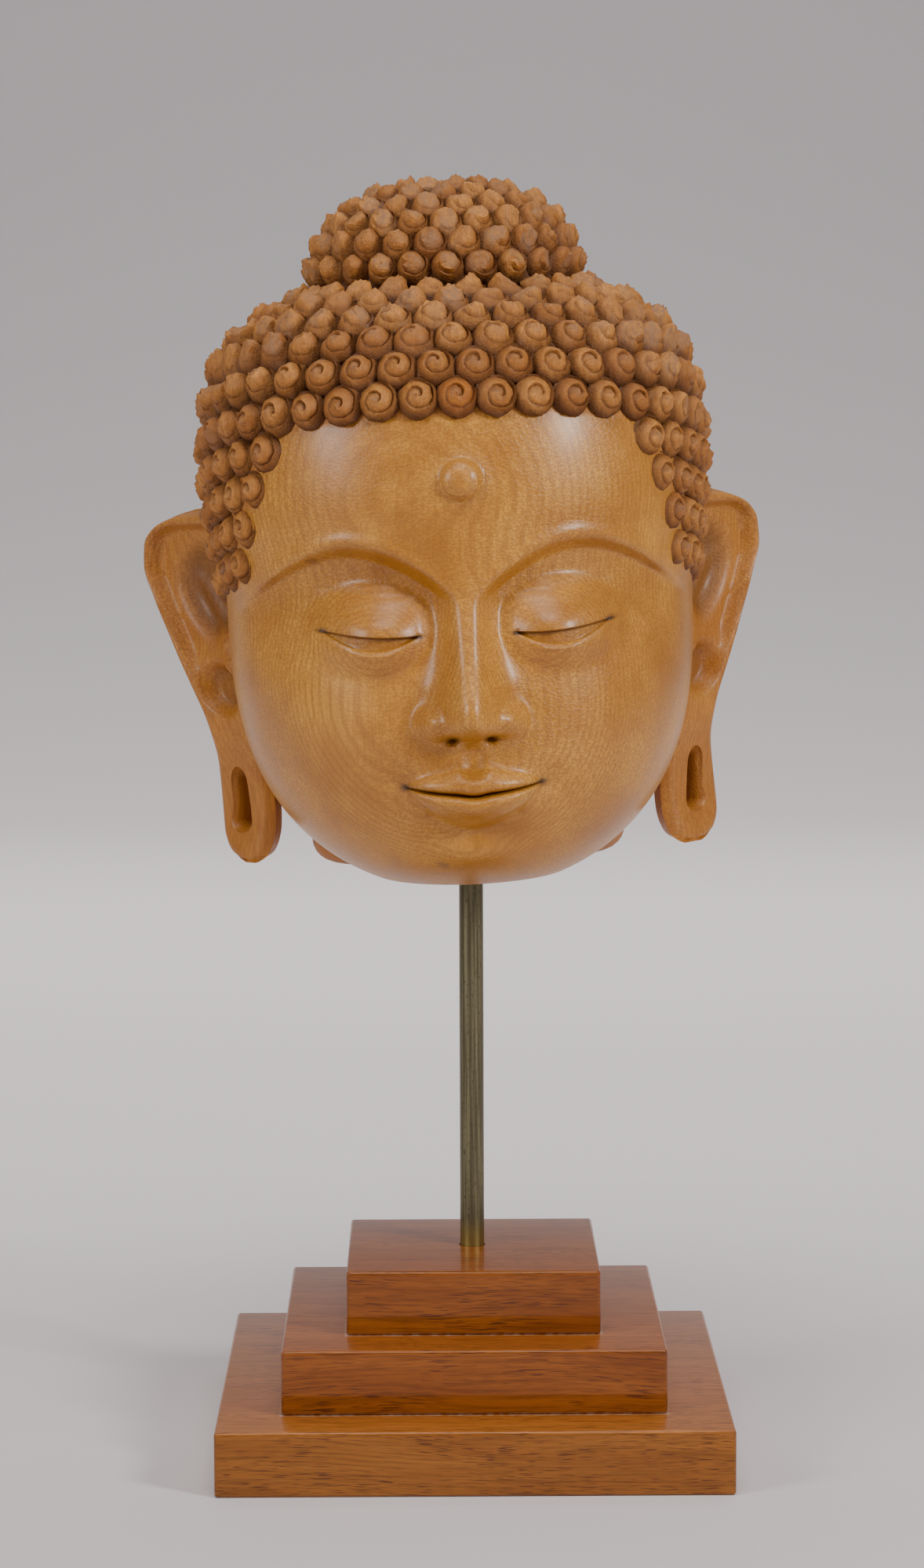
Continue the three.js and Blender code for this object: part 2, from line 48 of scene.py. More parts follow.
# The rod, the boards' rounded edges, and where the head sits on its rod
BASE_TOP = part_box("base_top_step")[1][2]
ROD_RADIUS = 0.0037
ROD_CLEARANCE = 0.0003
ROD_CHAMFER = 0.0006
ROD_SHOWN = 0.120
ROD_SEAT_IN_HEAD = 0.060
BOARD_EDGE = 0.0011
HEAD_LEAN = math.radians(2.3)
HEAD_TURN = math.radians(1.2)
NECK_BEHIND_ROD = -0.004
NECK_LEVEL = BASE_TOP + ROD_SHOWN

# The carving's unit is the old canon's finger, a twelfth of the face's height. Sizes of the
# carving are in fingers, and its heights count from the chin.
FINGER = 0.139 / 12
HAIRLINE = 12
BROW_LINE = 8
NOSE_BASE = 4
EYE_WIDTH = 2.4
MOUTH_HALF_WIDTH = 1.7
URNA_HEIGHT = 10.35
URNA_RADIUS = 0.52
URNA_FOOT_RADIUS = 0.66
NECK_UNDERSIDE = 0.15
NECK_HALF_WIDTH = 4.15
NECK_HALF_DEPTH = 2.9
NECK_CENTRE = 1.3
NECK_TOP = 4
NECK_EDGE = 0.6

FACE_HALF_WIDTH = 6.05
SKULL_HALF_WIDTH = 6.35
SKULL_FRONT = 6.65
SKULL_BACK = 6.9
SKULL_EQUATOR = 10.3
CROWN_HEIGHT = 4.85
CROWN_POWER = 3
FACE_SQUARENESS = 2.2

CURL_PITCH = 0.98
CURL_PITCH_BEHIND = 1.3
ROW_PITCH = 0.86
HAIR_TILT = math.radians(11)
ROWS_ABOVE_HAIRLINE = 6
ROWS_BELOW_HAIRLINE = 9
LAST_SIDEBURN_ROW = 4
TOPKNOT_RADIUS = 3.4
TOPKNOT_HEIGHT = 2.4
TOPKNOT_BASE = 14.85
TOPKNOT_CENTRE = 0.35
TOPKNOT_ROWS = 6
TOPKNOT_CURL_PITCH = 0.84

EAR_TOP = 9.62
EAR_BOTTOM = 0.32
EAR_SLANT = 1.1
LOBE_THICKNESS = 0.75
LOBE_SLOT_LENGTH = 1.5
LOBE_SLOT_WIDTH = 0.48
LOBE_SLOT_HEIGHT = 1.95


def lerp(a, b, t):
    return a + (b - a) * t


def step(x, low, high):
    """A smooth climb from 0 at low to 1 at high."""
    t = np.clip((x - low) / (high - low), 0, 1)
    return t * t * (3 - 2 * t)


def bell(x, z, cx, cz, sx, sz):
    """A round swelling of height 1 at (cx, cz), which fades over sx and sz."""
    return np.exp(-(((x - cx) / sx) ** 2) - ((z - cz) / sz) ** 2)


def crest(x, middle, width):
    """A swelling of height 1 along a line, which fades over its width."""
    return np.exp(-(((x - middle) / width) ** 2))


def through(stations):
    """A smooth curve through (position, value) stations, flat beyond its ends."""
    xs, ys = np.array(stations, float).T
    slopes = np.diff(ys) / np.diff(xs)
    before, after = slopes[:-1], slopes[1:]
    turning = before * after <= 0
    middle = np.where(turning, 0, 2 * before * after / np.where(turning, 1, before + after))
    tangents = np.concatenate([slopes[:1], middle, slopes[-1:]])

    def at(x):
        x = np.clip(x, xs[0], xs[-1])
        i = np.clip(np.searchsorted(xs, x), 1, len(xs) - 1)
        w = xs[i] - xs[i - 1]
        t = (x - xs[i - 1]) / w
        return (
            ys[i - 1] * (1 + 2 * t) * (1 - t) ** 2
            + tangents[i - 1] * w * t * (1 - t) ** 2
            + ys[i] * t * t * (3 - 2 * t)
            + tangents[i] * w * t * t * (t - 1)
        )

    return at


# Skull


def egg(z, power):
    """How the head narrows towards the chin, the later the higher the power."""
    return np.sqrt(np.maximum(1 - (np.maximum(7.5 - z, 0) / 8) ** power, 0))


back_below = through([(0, 3.6), (2, 5), (5, 6.1), (8, 6.75), (SKULL_EQUATOR, SKULL_BACK)])


def section(z):
    """Half-width, reach in front and reach behind of the skull at a height."""
    z = np.asarray(z, float)
    rise = np.clip((z - SKULL_EQUATOR) / CROWN_HEIGHT, 0, 1)
    share = (1 - rise**CROWN_POWER) ** (1 / CROWN_POWER)
    wider = step(z, 7, SKULL_EQUATOR)
    width = lerp(FACE_HALF_WIDTH, SKULL_HALF_WIDTH, wider) * egg(z, 3) * share
    front = lerp(SKULL_FRONT - 0.15, SKULL_FRONT, wider) * egg(z, 6.5) * share
    back = back_below(z) * egg(z, 9) * share
    return width, front, back


def on_section(z, angle):
    """A point of the skull at a height and an angle from the front towards +X."""
    width, front, back = section(z)
    power = 2 / np.where(np.cos(angle) > 0, FACE_SQUARENESS, 2)
    x = width * np.sign(np.sin(angle)) * np.abs(np.sin(angle)) ** power
    y = np.where(np.cos(angle) > 0, -front, back) * np.abs(np.cos(angle)) ** power
    return x, y


# Face: guide lines, then the relief that stands forward of the skull

EYE_INNER = EYE_WIDTH / 2
EYE_OUTER = EYE_WIDTH * 1.5
EYE_LEVEL = BROW_LINE - 1.45


def mouth_share(x):
    return np.clip(x / MOUTH_HALF_WIDTH, 0, 1)


def mouth_line(x):
    return 2.62 + 0.2 * mouth_share(x) ** 2 - 0.05 * bell(x, 0, 0, 0, 0.3, 1)


def lip_fullness(x):
    return (1 - mouth_share(x) ** 2) ** 0.75


def upper_lip(x):
    return mouth_line(x) + 0.56 * lip_fullness(x) + 0.07 * bell(x, 0, 0.42, 0, 0.26, 1)


def lower_lip(x):
    return mouth_line(x) - 0.74 * lip_fullness(x)


def eye_share(x):
    return np.clip((x - EYE_INNER) / (EYE_OUTER - EYE_INNER), 0, 1)


def eye_opening(x):
    return 4 * eye_share(x) * (1 - eye_share(x))


def lid_line(x):
    return EYE_LEVEL + 0.2 * eye_share(x) - 0.08 * eye_opening(x)


def lower_lid(x):
    return lid_line(x) - 0.36 * eye_opening(x)


def brow(x):
    return BROW_LINE - 0.7 + 1.5 * np.cos(1.57 * np.clip((x - 2.9) / 2.9, -1, 1))


# How far the nose stands out and how broad it is, by height
nose_profile = through([
    (NOSE_BASE - 0.35, 0), (NOSE_BASE - 0.05, 0.4), (NOSE_BASE + 0.15, 1.0), (NOSE_BASE + 0.42, 1.28),
    (NOSE_BASE + 0.8, 1.29), (BROW_LINE - 2, 0.86), (BROW_LINE - 1, 0.5), (BROW_LINE, 0.22),
    (BROW_LINE + 1.2, 0),
])
nose_breadth = through([
    (NOSE_BASE, 0.84), (NOSE_BASE + 0.7, 0.84), (NOSE_BASE + 1.6, 0.78), (BROW_LINE - 2, 0.8),
    (BROW_LINE - 0.8, 0.86), (BROW_LINE, 1.1),
])


def softer_max(a, b, width):
    """The larger of two heights, with a rounded valley where they meet."""
    overlap = np.maximum(width - np.abs(a - b), 0)
    return np.maximum(a, b) + overlap**2 / (4 * width)


def brow_and_socket(x, z):
    below = brow(x) - z
    inside = step(x, 0.15, 0.9) * (1 - step(x, 4.6, 6))
    hollow = step(below, -0.03, 0.36) * (1 - step(below, 0.7, 2.9))
    ridge = 0.07 * crest(below, -0.14, 0.17) * (1 - step(x, 3.6, 5.6))
    return inside * (ridge - 0.46 * hollow)


def eyelids(x, z):
    r = np.hypot((x - EYE_WIDTH) / 1.7, (z - EYE_LEVEL - 0.2) / 1.2)
    ball = 0.52 * np.maximum(0, 1 - r * r) ** 1.25
    above = z - lid_line(x)
    below = lower_lid(x) - z
    within = step(x, EYE_INNER - 0.12, EYE_INNER + 0.1)
    within = within * (1 - step(x, EYE_OUTER - 0.1, EYE_OUTER + 0.12))
    upper = 0.11 * eye_opening(x) ** 0.6 * step(above, -0.03, 0.04) * (1 - step(above, 0.15, 0.75))
    fold = -0.045 * eye_opening(x) ** 0.5 * crest(above, 1.02, 0.1)
    eyeball = within * step(np.minimum(-above, -below), -0.03, 0.05)
    lower = 0.05 * eye_opening(x) ** 0.6 * crest(below, 0.1, 0.11)
    bag = 0.05 * eye_opening(x) * crest(below, 0.42, 0.24)
    return ball + upper + fold + lower + bag - 0.13 * eyeball


def nose(x, z):
    bridge = nose_profile(z) * crest(x, 0, nose_breadth(z))
    bridge += 0.1 * bell(x, z, 0, NOSE_BASE + 0.6, 0.5, 0.44)
    wing_r = np.hypot((x - 0.84) / 0.68, (z - NOSE_BASE - 0.44) / 0.6)
    wing = 0.68 * np.maximum(0, 1 - wing_r**2) ** 1.5
    crease = -0.035 * crest(wing_r, 1, 0.3) * step(x, 0.7, 1.2)
    crease *= step(z, NOSE_BASE + 0.1, NOSE_BASE + 0.5)
    nostril = -0.36 * bell(x, z, 0.46, NOSE_BASE - 0.02, 0.18, 0.1)
    return softer_max(bridge, wing, 0.34) + crease + nostril


def mouth(x, z):
    line = mouth_line(x)
    full = lip_fullness(x)
    edge = np.where(z > line, upper_lip(x), lower_lip(x))
    share = np.abs(z - line) / (np.abs(edge - line) + 0.001)
    inside = np.clip(share, 0, 1)
    upper = 0.3 * np.sin(np.pi * inside**0.6) ** 0.8 + 0.05 * bell(x, z, 0, 2.95, 0.3, 0.25)
    lower = 0.44 * np.sin(np.pi * inside**0.72) ** 0.62
    lip = np.where(share < 1, np.where(z > line, upper, lower) * full, 0)
    lip += 0.09 * full**0.5 * step(1.08 - share, 0, 0.16)
    rim = np.where(z > line, 0.055, 0.02) * full**0.7 * crest(share, 1.05, 0.13)
    parting = -0.09 * full**0.4 * crest(z, line, 0.05) * (x < MOUTH_HALF_WIDTH)
    under = -0.12 * full * crest(share, 1.22, 0.22) * (z < line)
    muzzle = 0.33 * bell(x, z, 0, 2.8, 2.1, 1.5)
    corner = 0.15 * bell(x, z, MOUTH_HALF_WIDTH + 0.12, 2.84, 0.42, 0.38)
    below_lip = 0.26 * bell(x, z, 0, 1.5, 1.25, 0.34)
    chin = 0.32 * bell(x, z, 0, 0.82, 1.15, 0.72)
    gutter = 0.07 * bell(x, z, 0, 3.55, 0.2, 0.42)
    gutter_edge = 0.03 * bell(x, z, 0.34, 3.5, 0.12, 0.36)
    return lip + rim + parting + under + muzzle - corner - below_lip + chin - gutter + gutter_edge


def face_relief(x, z):
    """How far the carved face stands forward of the skull."""
    x = np.abs(x)
    features = brow_and_socket(x, z) + eyelids(x, z) + nose(x, z) + mouth(x, z)
    cheek = 0.27 * bell(x, z, 3.3, 4.4, 1.8, 1.7)
    forehead_slope = 0.3 * step(z, 9.4, 13)
    from_urna = np.hypot(x, z - URNA_HEIGHT)
    urna_foot = 0.08 * np.exp(-((from_urna / URNA_FOOT_RADIUS) ** 4))
    urna = 0.26 * np.sqrt(np.maximum(0, 1 - (from_urna / URNA_RADIUS) ** 2))
    return features + cheek - forehead_slope + urna_foot + urna


def level(z):
    """A guide line that runs level round the head."""
    return lambda x: z + 0 * x


def apart(edge, line, side):
    """The guide line of an edge, kept a little way from a line that it would run into."""
    return lambda x: line(x) + side * np.maximum(side * (edge(x) - line(x)), 0.16)


# Each guide line and how many bands of mesh lie between it and the next one up
FACE_GUIDES = [
    (level(0.03), 6), (level(0.3), 6), (level(0.75), 7), (level(1.3), 8),
    (apart(lower_lip, mouth_line, -1), 12), (mouth_line, 12), (apart(upper_lip, mouth_line, 1), 8),
    (level(NOSE_BASE - 0.1), 8), (level(NOSE_BASE + 0.12), 6), (level(4.4), 7), (level(4.9), 12),
    (apart(lower_lid, lid_line, -1), 7), (lambda x: lid_line(x) - 0.05, 5),
    (lambda x: lid_line(x) + 0.03, 10), (lambda x: lerp(lid_line(x), brow(x), 0.5), 8),
    (lambda x: lerp(lid_line(x), brow(x), 0.8), 9), (lambda x: brow(x) + 0.03, 8),
    (lambda x: 9.25 + 0.25 * (brow(x) - BROW_LINE), 6), (level(9.72), 10), (level(URNA_HEIGHT), 10),
    (level(10.98), 6), (level(11.6), 6), (level(12.4), 3), (level(13.4), 3), (level(14.4), 0),
]


# What the wood's finish depends on at each point, with its usual value
TONES = {"hair": 0.0, "dirt": 0.0, "worn": 0.0, "tone": 0.5, "red": 0.0}


class Carving:
    """Gathers closed shells of the head, with the tones of their points."""

    def __init__(self):
        self.points, self.faces, self.sharp = [], [], []
        self.tones = {name: [] for name in TONES}
        self.count = 0

    def add(self, points, faces, sharp=(), **tones):
        points = np.asarray(points, float).reshape(-1, 3)
        self.points.append(points)
        self.faces += [tuple(int(i) + self.count for i in face) for face in faces]
        self.sharp += [(a + self.count, b + self.count) for a, b in sharp]
        for name, usual in TONES.items():
            values = np.broadcast_to(tones.get(name, usual), len(points))
            self.tones[name].append(values.astype(float))
        self.count += len(points)


def circle(count):
    """Evenly spaced angles all the way round."""
    return 2 * np.pi * np.arange(count) / count


def ring_faces(rings, columns):
    """Quads between rings of equal length, going up, each ring counter-clockwise from above."""
    faces = []
    for r in range(rings - 1):
        a, b = r * columns, (r + 1) * columns
        for c in range(columns):
            d = (c + 1) % columns
            faces.append((a + c, a + d, b + d, b + c))
    return faces


def fan(ring, centre, upwards):
    """Triangles that close a ring of point numbers round a centre."""
    pairs = zip(ring, ring[1:] + ring[:1])
    return [(centre, a, b) if upwards else (centre, b, a) for a, b in pairs]


def closed_shell(rings, bottom, top):
    """Points and faces of a stack of rings, with a fan round one point at each end."""
    columns = len(rings[0])
    last = (len(rings) - 1) * columns
    end = last + columns
    faces = ring_faces(len(rings), columns)
    faces += fan(list(range(columns)), end, False)
    faces += fan(list(range(last, end)), end + 1, True)
    return np.concatenate([*rings, [bottom, top]]), faces


def capped_faces(rings, columns):
    """Faces of a stack of rings, with one flat face at each end."""
    last = (rings - 1) * columns
    ends = [tuple(range(columns)), tuple(range(last, last + columns))]
    return ring_faces(rings, columns) + ends


def hair_row_of(x, y, z):
    """How many rows above the hairline's lowest row a place on the head lies."""
    return (z + (y + SKULL_FRONT) * math.tan(HAIR_TILT) - HAIRLINE) / ROW_PITCH


def hair_start(row):
    """How far round from the front the hair of a row starts."""
    temple = np.radians(47 + 5.2 * (-row - 1))
    behind_ear = np.radians(104)
    return np.where(row >= 0, 0, np.where(-row > LAST_SIDEBURN_ROW, behind_ear, temple))


def carve_skull(carving):
    """The skull with the face on it. Its columns lie closest together in the middle of the face."""
    turn = np.linspace(-1, 1, 175)
    front = np.radians(100) * (0.46 * turn + 0.54 * turn**3)
    behind = np.radians(np.linspace(100, 260, 16))[1:-1]
    angles = np.concatenate([front, behind])
    levels = [
        (low, high, share)
        for (low, bands), (high, _) in zip(FACE_GUIDES, FACE_GUIDES[1:])
        for share in np.arange(bands) / bands
    ]
    last_guide = FACE_GUIDES[-1][0]
    levels.append((last_guide, last_guide, 0))
    rings = []
    for low, high, share in levels:
        x = np.zeros_like(angles)
        for _ in range(5):
            reach = np.where(np.cos(angles) > 0, np.abs(x), FACE_HALF_WIDTH)
            z = lerp(low(reach), high(reach), share)
            x, y = on_section(z, angles)
        facing = step(np.cos(angles), 0.05, 0.45)
        under_hair = np.abs(np.where(angles > np.pi, angles - 2 * np.pi, angles))
        under_hair = step(under_hair - hair_start(np.floor(hair_row_of(x, y, z) - 0.6)), 0.05, 0.2)
        sunk = 1 - 0.02 * under_hair
        rings.append(np.stack([x * sunk, y * sunk - facing * face_relief(x, z), z], -1))
    points, faces = closed_shell(rings, (0, -1, 0), (0, 0, rings[-1][-1, 2] + 0.3))

    # Painted shade, with some soiling, in the corners of the mouth and eyes, in the slits of the lids, the
    # lips and the nostrils
    x, y, z = np.abs(points[:, 0]), points[:, 1], points[:, 2]
    row = np.floor(hair_row_of(x, y, z))
    hair = np.abs(np.arctan2(points[:, 0], -y)) >= hair_start(row) - 0.02
    corner = (
        bell(x, z, MOUTH_HALF_WIDTH, 2.82, 0.14, 0.1)
        + bell(x, z, EYE_INNER, EYE_LEVEL - 0.02, 0.13, 0.06)
        + bell(x, z, EYE_OUTER, EYE_LEVEL + 0.19, 0.13, 0.05)
    )
    within = step(x, EYE_INNER - 0.1, EYE_INNER) * (1 - step(x, EYE_OUTER, EYE_OUTER + 0.1))
    slit = within * crest(z - lid_line(x), -0.02, 0.035)
    parting = 0.35 * crest(z, mouth_line(x), 0.05) * (x < MOUTH_HALF_WIDTH)
    nostril = 0.7 * bell(x, z, 0.47, NOSE_BASE - 0.02, 0.14, 0.08)
    front_only = (y < -2) & ~hair
    dirt = np.clip(corner + 0.8 * slit + parting + nostril, 0, 1) * front_only
    carving.add(points, faces, hair=hair * 1.0, dirt=dirt)


def carve_neck(carving, into_head):
    """The neck's stump, an oval with a rounded lower edge and the rod's bore in it."""
    columns = 64
    angle = circle(columns)
    profile = [
        (NECK_EDGE * (1 - math.sin(a)), NECK_UNDERSIDE + NECK_EDGE * (1 - math.cos(a)))
        for a in np.linspace(0, 1, 7) * math.pi / 2
    ]
    profile.append((0, NECK_TOP))
    rings = []
    radius = ROD_RADIUS + ROD_CLEARANCE
    for height in (NECK_LEVEL + ROD_SEAT_IN_HEAD, NECK_LEVEL):
        hole = [(radius * math.sin(a), -radius * math.cos(a), height) for a in angle]
        rings.append(np.array([into_head @ Vector(p) for p in hole]) / FINGER)
    rings[1][:, 2] = NECK_UNDERSIDE
    for inset, z in profile:
        x = (NECK_HALF_WIDTH - inset) * np.sin(angle)
        y = NECK_CENTRE - (NECK_HALF_DEPTH - inset) * np.cos(angle)
        rings.append(np.stack([x, y, np.full(columns, z)], -1))
    points, faces = closed_shell(rings, rings[0].mean(0), (0, NECK_CENTRE, NECK_TOP))
    # The rod's bore is painted fully dark, as painted shade
    dark = np.zeros(len(points))
    dark[: 2 * columns] = 1
    carving.add(points, faces, dirt=dark, red=0.8)


# Hair


def crown(lift):
    """A height on the crown and its share of the skull's reach, from how far up it is in angle."""
    z = SKULL_EQUATOR + CROWN_HEIGHT * np.sin(lift) ** (2 / CROWN_POWER)
    return z, np.cos(lift) ** (2 / CROWN_POWER)


def hair_rows():
    """Each row's number, its height at the front and how steeply it drops towards the back."""
    tilt = math.tan(HAIR_TILT)
    front_row = HAIRLINE + ROW_PITCH / 2
    lift = math.asin(((front_row - SKULL_EQUATOR) / CROWN_HEIGHT) ** (CROWN_POWER / 2))
    heights = [front_row]
    while len(heights) < ROWS_ABOVE_HAIRLINE:
        z0, share0 = crown(lift)
        gone = 0
        while gone < ROW_PITCH:
            lift += 0.002
            z, share = crown(lift)
            gone = math.hypot(z - z0, (share - share0) * SKULL_FRONT)
        heights.append(float(z))
    rows = []
    for row in range(-ROWS_BELOW_HAIRLINE, ROWS_ABOVE_HAIRLINE):
        z = heights[row] if row > 0 else front_row + row * ROW_PITCH
        flatter = 1 - row / ROWS_ABOVE_HAIRLINE if row > 0 else 1
        rows.append((row, z, tilt * flatter))
    return rows


def hair_place(z_front, tilt, angle):
    """Places on a row of the scalp, with the outward and the upward direction at each."""
    x, y = on_section(z_front, angle)
    for _ in range(6):
        z = z_front - (y + SKULL_FRONT) * tilt
        x, y = on_section(z, angle)
    z = z_front - (y + SKULL_FRONT) * tilt
    rise = np.clip((z - SKULL_EQUATOR) / CROWN_HEIGHT, 0, 1)
    up = rise ** (CROWN_POWER - 1) / CROWN_HEIGHT
    side = np.maximum(1 - rise**CROWN_POWER, 0) ** ((CROWN_POWER - 1) / CROWN_POWER) / SKULL_HALF_WIDTH
    steep, reach = np.hypot(up, side), np.hypot(x, y)
    out = np.stack([x / reach * side / steep, y / reach * side / steep, up / steep], -1)
    climb = np.stack([-x / reach * out[:, 2], -y / reach * out[:, 2], side / steep], -1)
    return np.stack([x, y, z], -1), out, climb


def ring_places(stagger, z_front, tilt):
    """Angles of a row's curls, which widen towards the back."""
    fine = 180
    angle = 2 * np.pi * np.arange(fine + 1) / fine
    path, _, _ = hair_place(z_front, tilt, angle)
    middle = 2 * np.pi * (np.arange(fine) + 0.5) / fine
    pitch = lerp(CURL_PITCH, CURL_PITCH_BEHIND, step(-np.cos(middle), 0, 0.8))
    along = np.concatenate([[0], np.cumsum(np.linalg.norm(np.diff(path, axis=0), axis=1) / pitch)])
    count = round(along[-1])
    share = (np.arange(count) + stagger) / count
    return np.interp(share * along[-1], along, angle)


def curl_mesh(around, turns, bands):
    """A snail curl's mesh. Its rows of points follow the spiral, so its groove is one clean line,
    and bands are the rows' places across one turn. Gives each point's distance from the middle,
    its angle and its place across the groove, which is 0 in the groove and -1 under the rim,
    then the faces and the groove's edges."""
    rows_a_turn = len(bands)
    rows = turns * rows_a_turn
    number = {}
    points = []

    def point(row, i):
        if i == around:
            row, i = row + rows_a_turn, 0
        share = (row // rows_a_turn + bands[row % rows_a_turn] + i / around) / turns
        if share >= 1:
            row, share = rows, 1
        if (row, i) not in number:
            number[row, i] = len(points)
            points.append((share, 2 * math.pi * i / around, row % rows_a_turn if row < rows else 0))
        return number[row, i]

    centre = point(0, 0)
    inner = [point(row, 0) for row in range(1, rows_a_turn + 1)]
    faces = [(centre, point(0, i), point(0, i + 1)) for i in range(1, around - 1)]
    faces += [(point(0, around - 1), a, b) for a, b in zip([centre] + inner, inner)]
    for row in range(rows):
        for i in range(around):
            quad = (point(row, i), point(row + 1, i), point(row + 1, i + 1), point(row, i + 1))
            corners = tuple(dict.fromkeys(quad))
            if len(corners) > 2:
                faces.append(corners)
    rim = [point(rows, i) for i in range(around)]
    skirt = list(range(len(points), len(points) + around))
    points += [(1.0, 2 * math.pi * i / around, -1) for i in range(around)]
    bottom = len(points)
    points.append((0.0, 0.0, -1))
    for i, j in zip(range(around), list(range(1, around)) + [0]):
        faces += [(rim[i], skirt[i], skirt[j], rim[j]), (skirt[i], bottom, skirt[j])]
    groove = [
        (point(row, i), point(row, i + 1))
        for row in range(0, rows, rows_a_turn)
        for i in range(around)
        if points[point(row, i)][0] < 1 and points[point(row, i + 1)][0] < 1
    ]
    return np.array(points), faces, groove


def carve_curls(carving, shape, lean, places, out, climb, size, height, point, rubbed):
    """One curl at each place. Point is 0 for a flat snail and 1 for a pointed bud, which leans
    upwards, and a rubbed curl is worn to a brighter red."""
    template, faces, groove = shape
    share, turn, across = template.T
    below = across < 0
    in_groove = (across == 0) & (share < 1)
    dome = np.maximum(1 - share**2.2, 0) ** 0.6
    for i, (place, n, u) in enumerate(zip(places, out, climb)):
        side = np.cross(u, n)
        spin = random.normal(math.radians(200), 0.3)
        angle = turn + spin
        axis = n + u * lean * point[i] + 0.06 * random.standard_normal(3)
        axis /= np.linalg.norm(axis)
        deep = 0.19 + 0.09 * np.cos(angle - math.radians(30))
        cut = in_groove * step(share, 0.1 + 0.34 * point[i], 0.22 + 0.42 * point[i])
        snail = (0.62 + 0.38 * (1 - share)) * dome
        bud = 0.8 * dome + 0.34 * np.clip(1 - share * 1.3, 0, 0.62)
        rise = lerp(snail, bud, point[i]) - deep * cut
        cut_height, cut_slope = random.uniform(0.72, 0.95), random.uniform(0.3, 0.8)
        slant = cut_height + cut_slope * share * np.cos(turn + random.uniform(0, 6.3))
        chiselled = (rise > slant) & (point[i] > 0.5)
        rise = np.where(chiselled, slant, rise)
        rise *= height[i] * (1 + 0.08 * (0.25 + share) * random.standard_normal(len(share)))
        rise[below] = -0.35
        reach = share * size[i] * random.normal(1, 0.03) * (1 + 0.03 * random.standard_normal(len(share)))
        offset = reach[:, None] * (np.cos(angle)[:, None] * side + np.sin(angle)[:, None] * u)
        points = place - 0.06 * n + offset + rise[:, None] * axis
        # Painted shade: darker in the groove and towards the curl's rim, fully dark under it
        dirt = np.maximum(0.75 * cut, 0.95 * np.clip((share - 0.54) / 0.4, 0, 1))
        dirt[below] = 1
        worn = np.maximum(np.clip(1 - share * 2.4, 0, 1), chiselled) * random.uniform(0.2, 1)
        tone = random.uniform(0, 1)
        carving.add(points, faces, groove, hair=1, dirt=dirt, worn=worn, tone=tone, red=rubbed[i])


FULL_CURL = curl_mesh(18, 2, (0, 0.2, 0.72))
PLAIN_CURL = curl_mesh(12, 2, (0, 0.4))
FRONT_ENDS = 1.9


def carve_row(carving, from_front, lean, *facts):
    """Curls in view from the front are cut in full, and those behind more plainly."""
    in_front = from_front < FRONT_ENDS
    for chosen, shape in ((in_front, FULL_CURL), (~in_front, PLAIN_CURL)):
        carve_curls(carving, shape, lean, *(fact[chosen] for fact in facts))


def carve_hair(carving):
    """The rows of curls: flat snails at the front of the hairline, and buds above and behind."""
    for row, z_front, tilt in hair_rows():
        angles = ring_places((row % 2) / 2, z_front, tilt)
        from_front = np.minimum(angles, 2 * np.pi - angles)
        angles = angles[from_front >= hair_start(row) - 0.03]
        from_front = np.minimum(angles, 2 * np.pi - angles)
        places, out, climb = hair_place(z_front, tilt, angles)
        widening = lerp(1, CURL_PITCH_BEHIND / CURL_PITCH, step(-np.cos(angles), 0, 0.8))
        size = 0.54 * CURL_PITCH * widening
        point = np.clip(0.3 * (row - 1) + 0.85 * step(from_front, 0.45, 1.1), 0, 1)
        height = lerp(0.44, 0.6, point) * random.uniform(0.92, 1.05, len(angles))
        height *= 1 - 0.07 * step(from_front, 2, 2.8)
        rubbed = (row == 0) & (from_front == from_front.min())
        carve_row(carving, from_front, 0.3, places, out, climb, size, height, point, rubbed)


def carve_topknot(carving):
    """Rows of buds up to one at the top, over a plain dome that closes the gaps between them."""
    def dome(lift, angle):
        reach = TOPKNOT_RADIUS * np.cos(lift) ** 0.8
        z = TOPKNOT_BASE + 0.35 + TOPKNOT_HEIGHT * np.sin(lift) ** 0.9 + 0 * angle
        places = np.stack([reach * np.sin(angle), TOPKNOT_CENTRE - reach * np.cos(angle), z], -1)
        flat, steep = np.cos(lift), np.sin(lift)
        out = np.stack([flat * np.sin(angle), -flat * np.cos(angle), steep + 0 * angle], -1)
        climb = np.stack([-steep * np.sin(angle), steep * np.cos(angle), flat + 0 * angle], -1)
        return places, out, climb

    for row in range(TOPKNOT_ROWS + 1):
        lift = (0.08 + row / TOPKNOT_ROWS * 0.92) * (math.pi / 2)
        around = 2 * math.pi * TOPKNOT_RADIUS * math.cos(lift) ** 0.8
        count = max(1, round(around / TOPKNOT_CURL_PITCH))
        angles = 2 * np.pi * (np.arange(count) + (row % 2) / 2) / count
        from_front = np.minimum(angles, 2 * np.pi - angles)
        places, out, climb = dome(lift, angles)
        size = np.full(count, 0.55 * TOPKNOT_CURL_PITCH)
        height = random.uniform(0.46, 0.52, count) - 0.1 * (row == TOPKNOT_ROWS)
        point, rubbed = np.full(count, 0.9), np.zeros(count)
        carve_row(carving, from_front, 0.35, places, out, climb, size, height, point, rubbed)

    angle = circle(40)
    inside, foot = TOPKNOT_RADIUS - 0.25, TOPKNOT_BASE - 1
    x, y = inside * np.sin(angle), TOPKNOT_CENTRE - inside * np.cos(angle)
    rings = [np.stack([x, y, np.full(len(angle), foot)], -1)]
    rings += [dome(lift, angle)[0] for lift in np.linspace(0, 1.45, 8)]
    top = rings[-1][-1, 2] + 0.05
    points, faces = closed_shell(rings, (0, TOPKNOT_CENTRE, foot), (0, TOPKNOT_CENTRE, top))
    # The dome in the gaps between the buds is painted fully dark, as painted shade
    carving.add(points, faces, hair=1, dirt=1)


# Ears

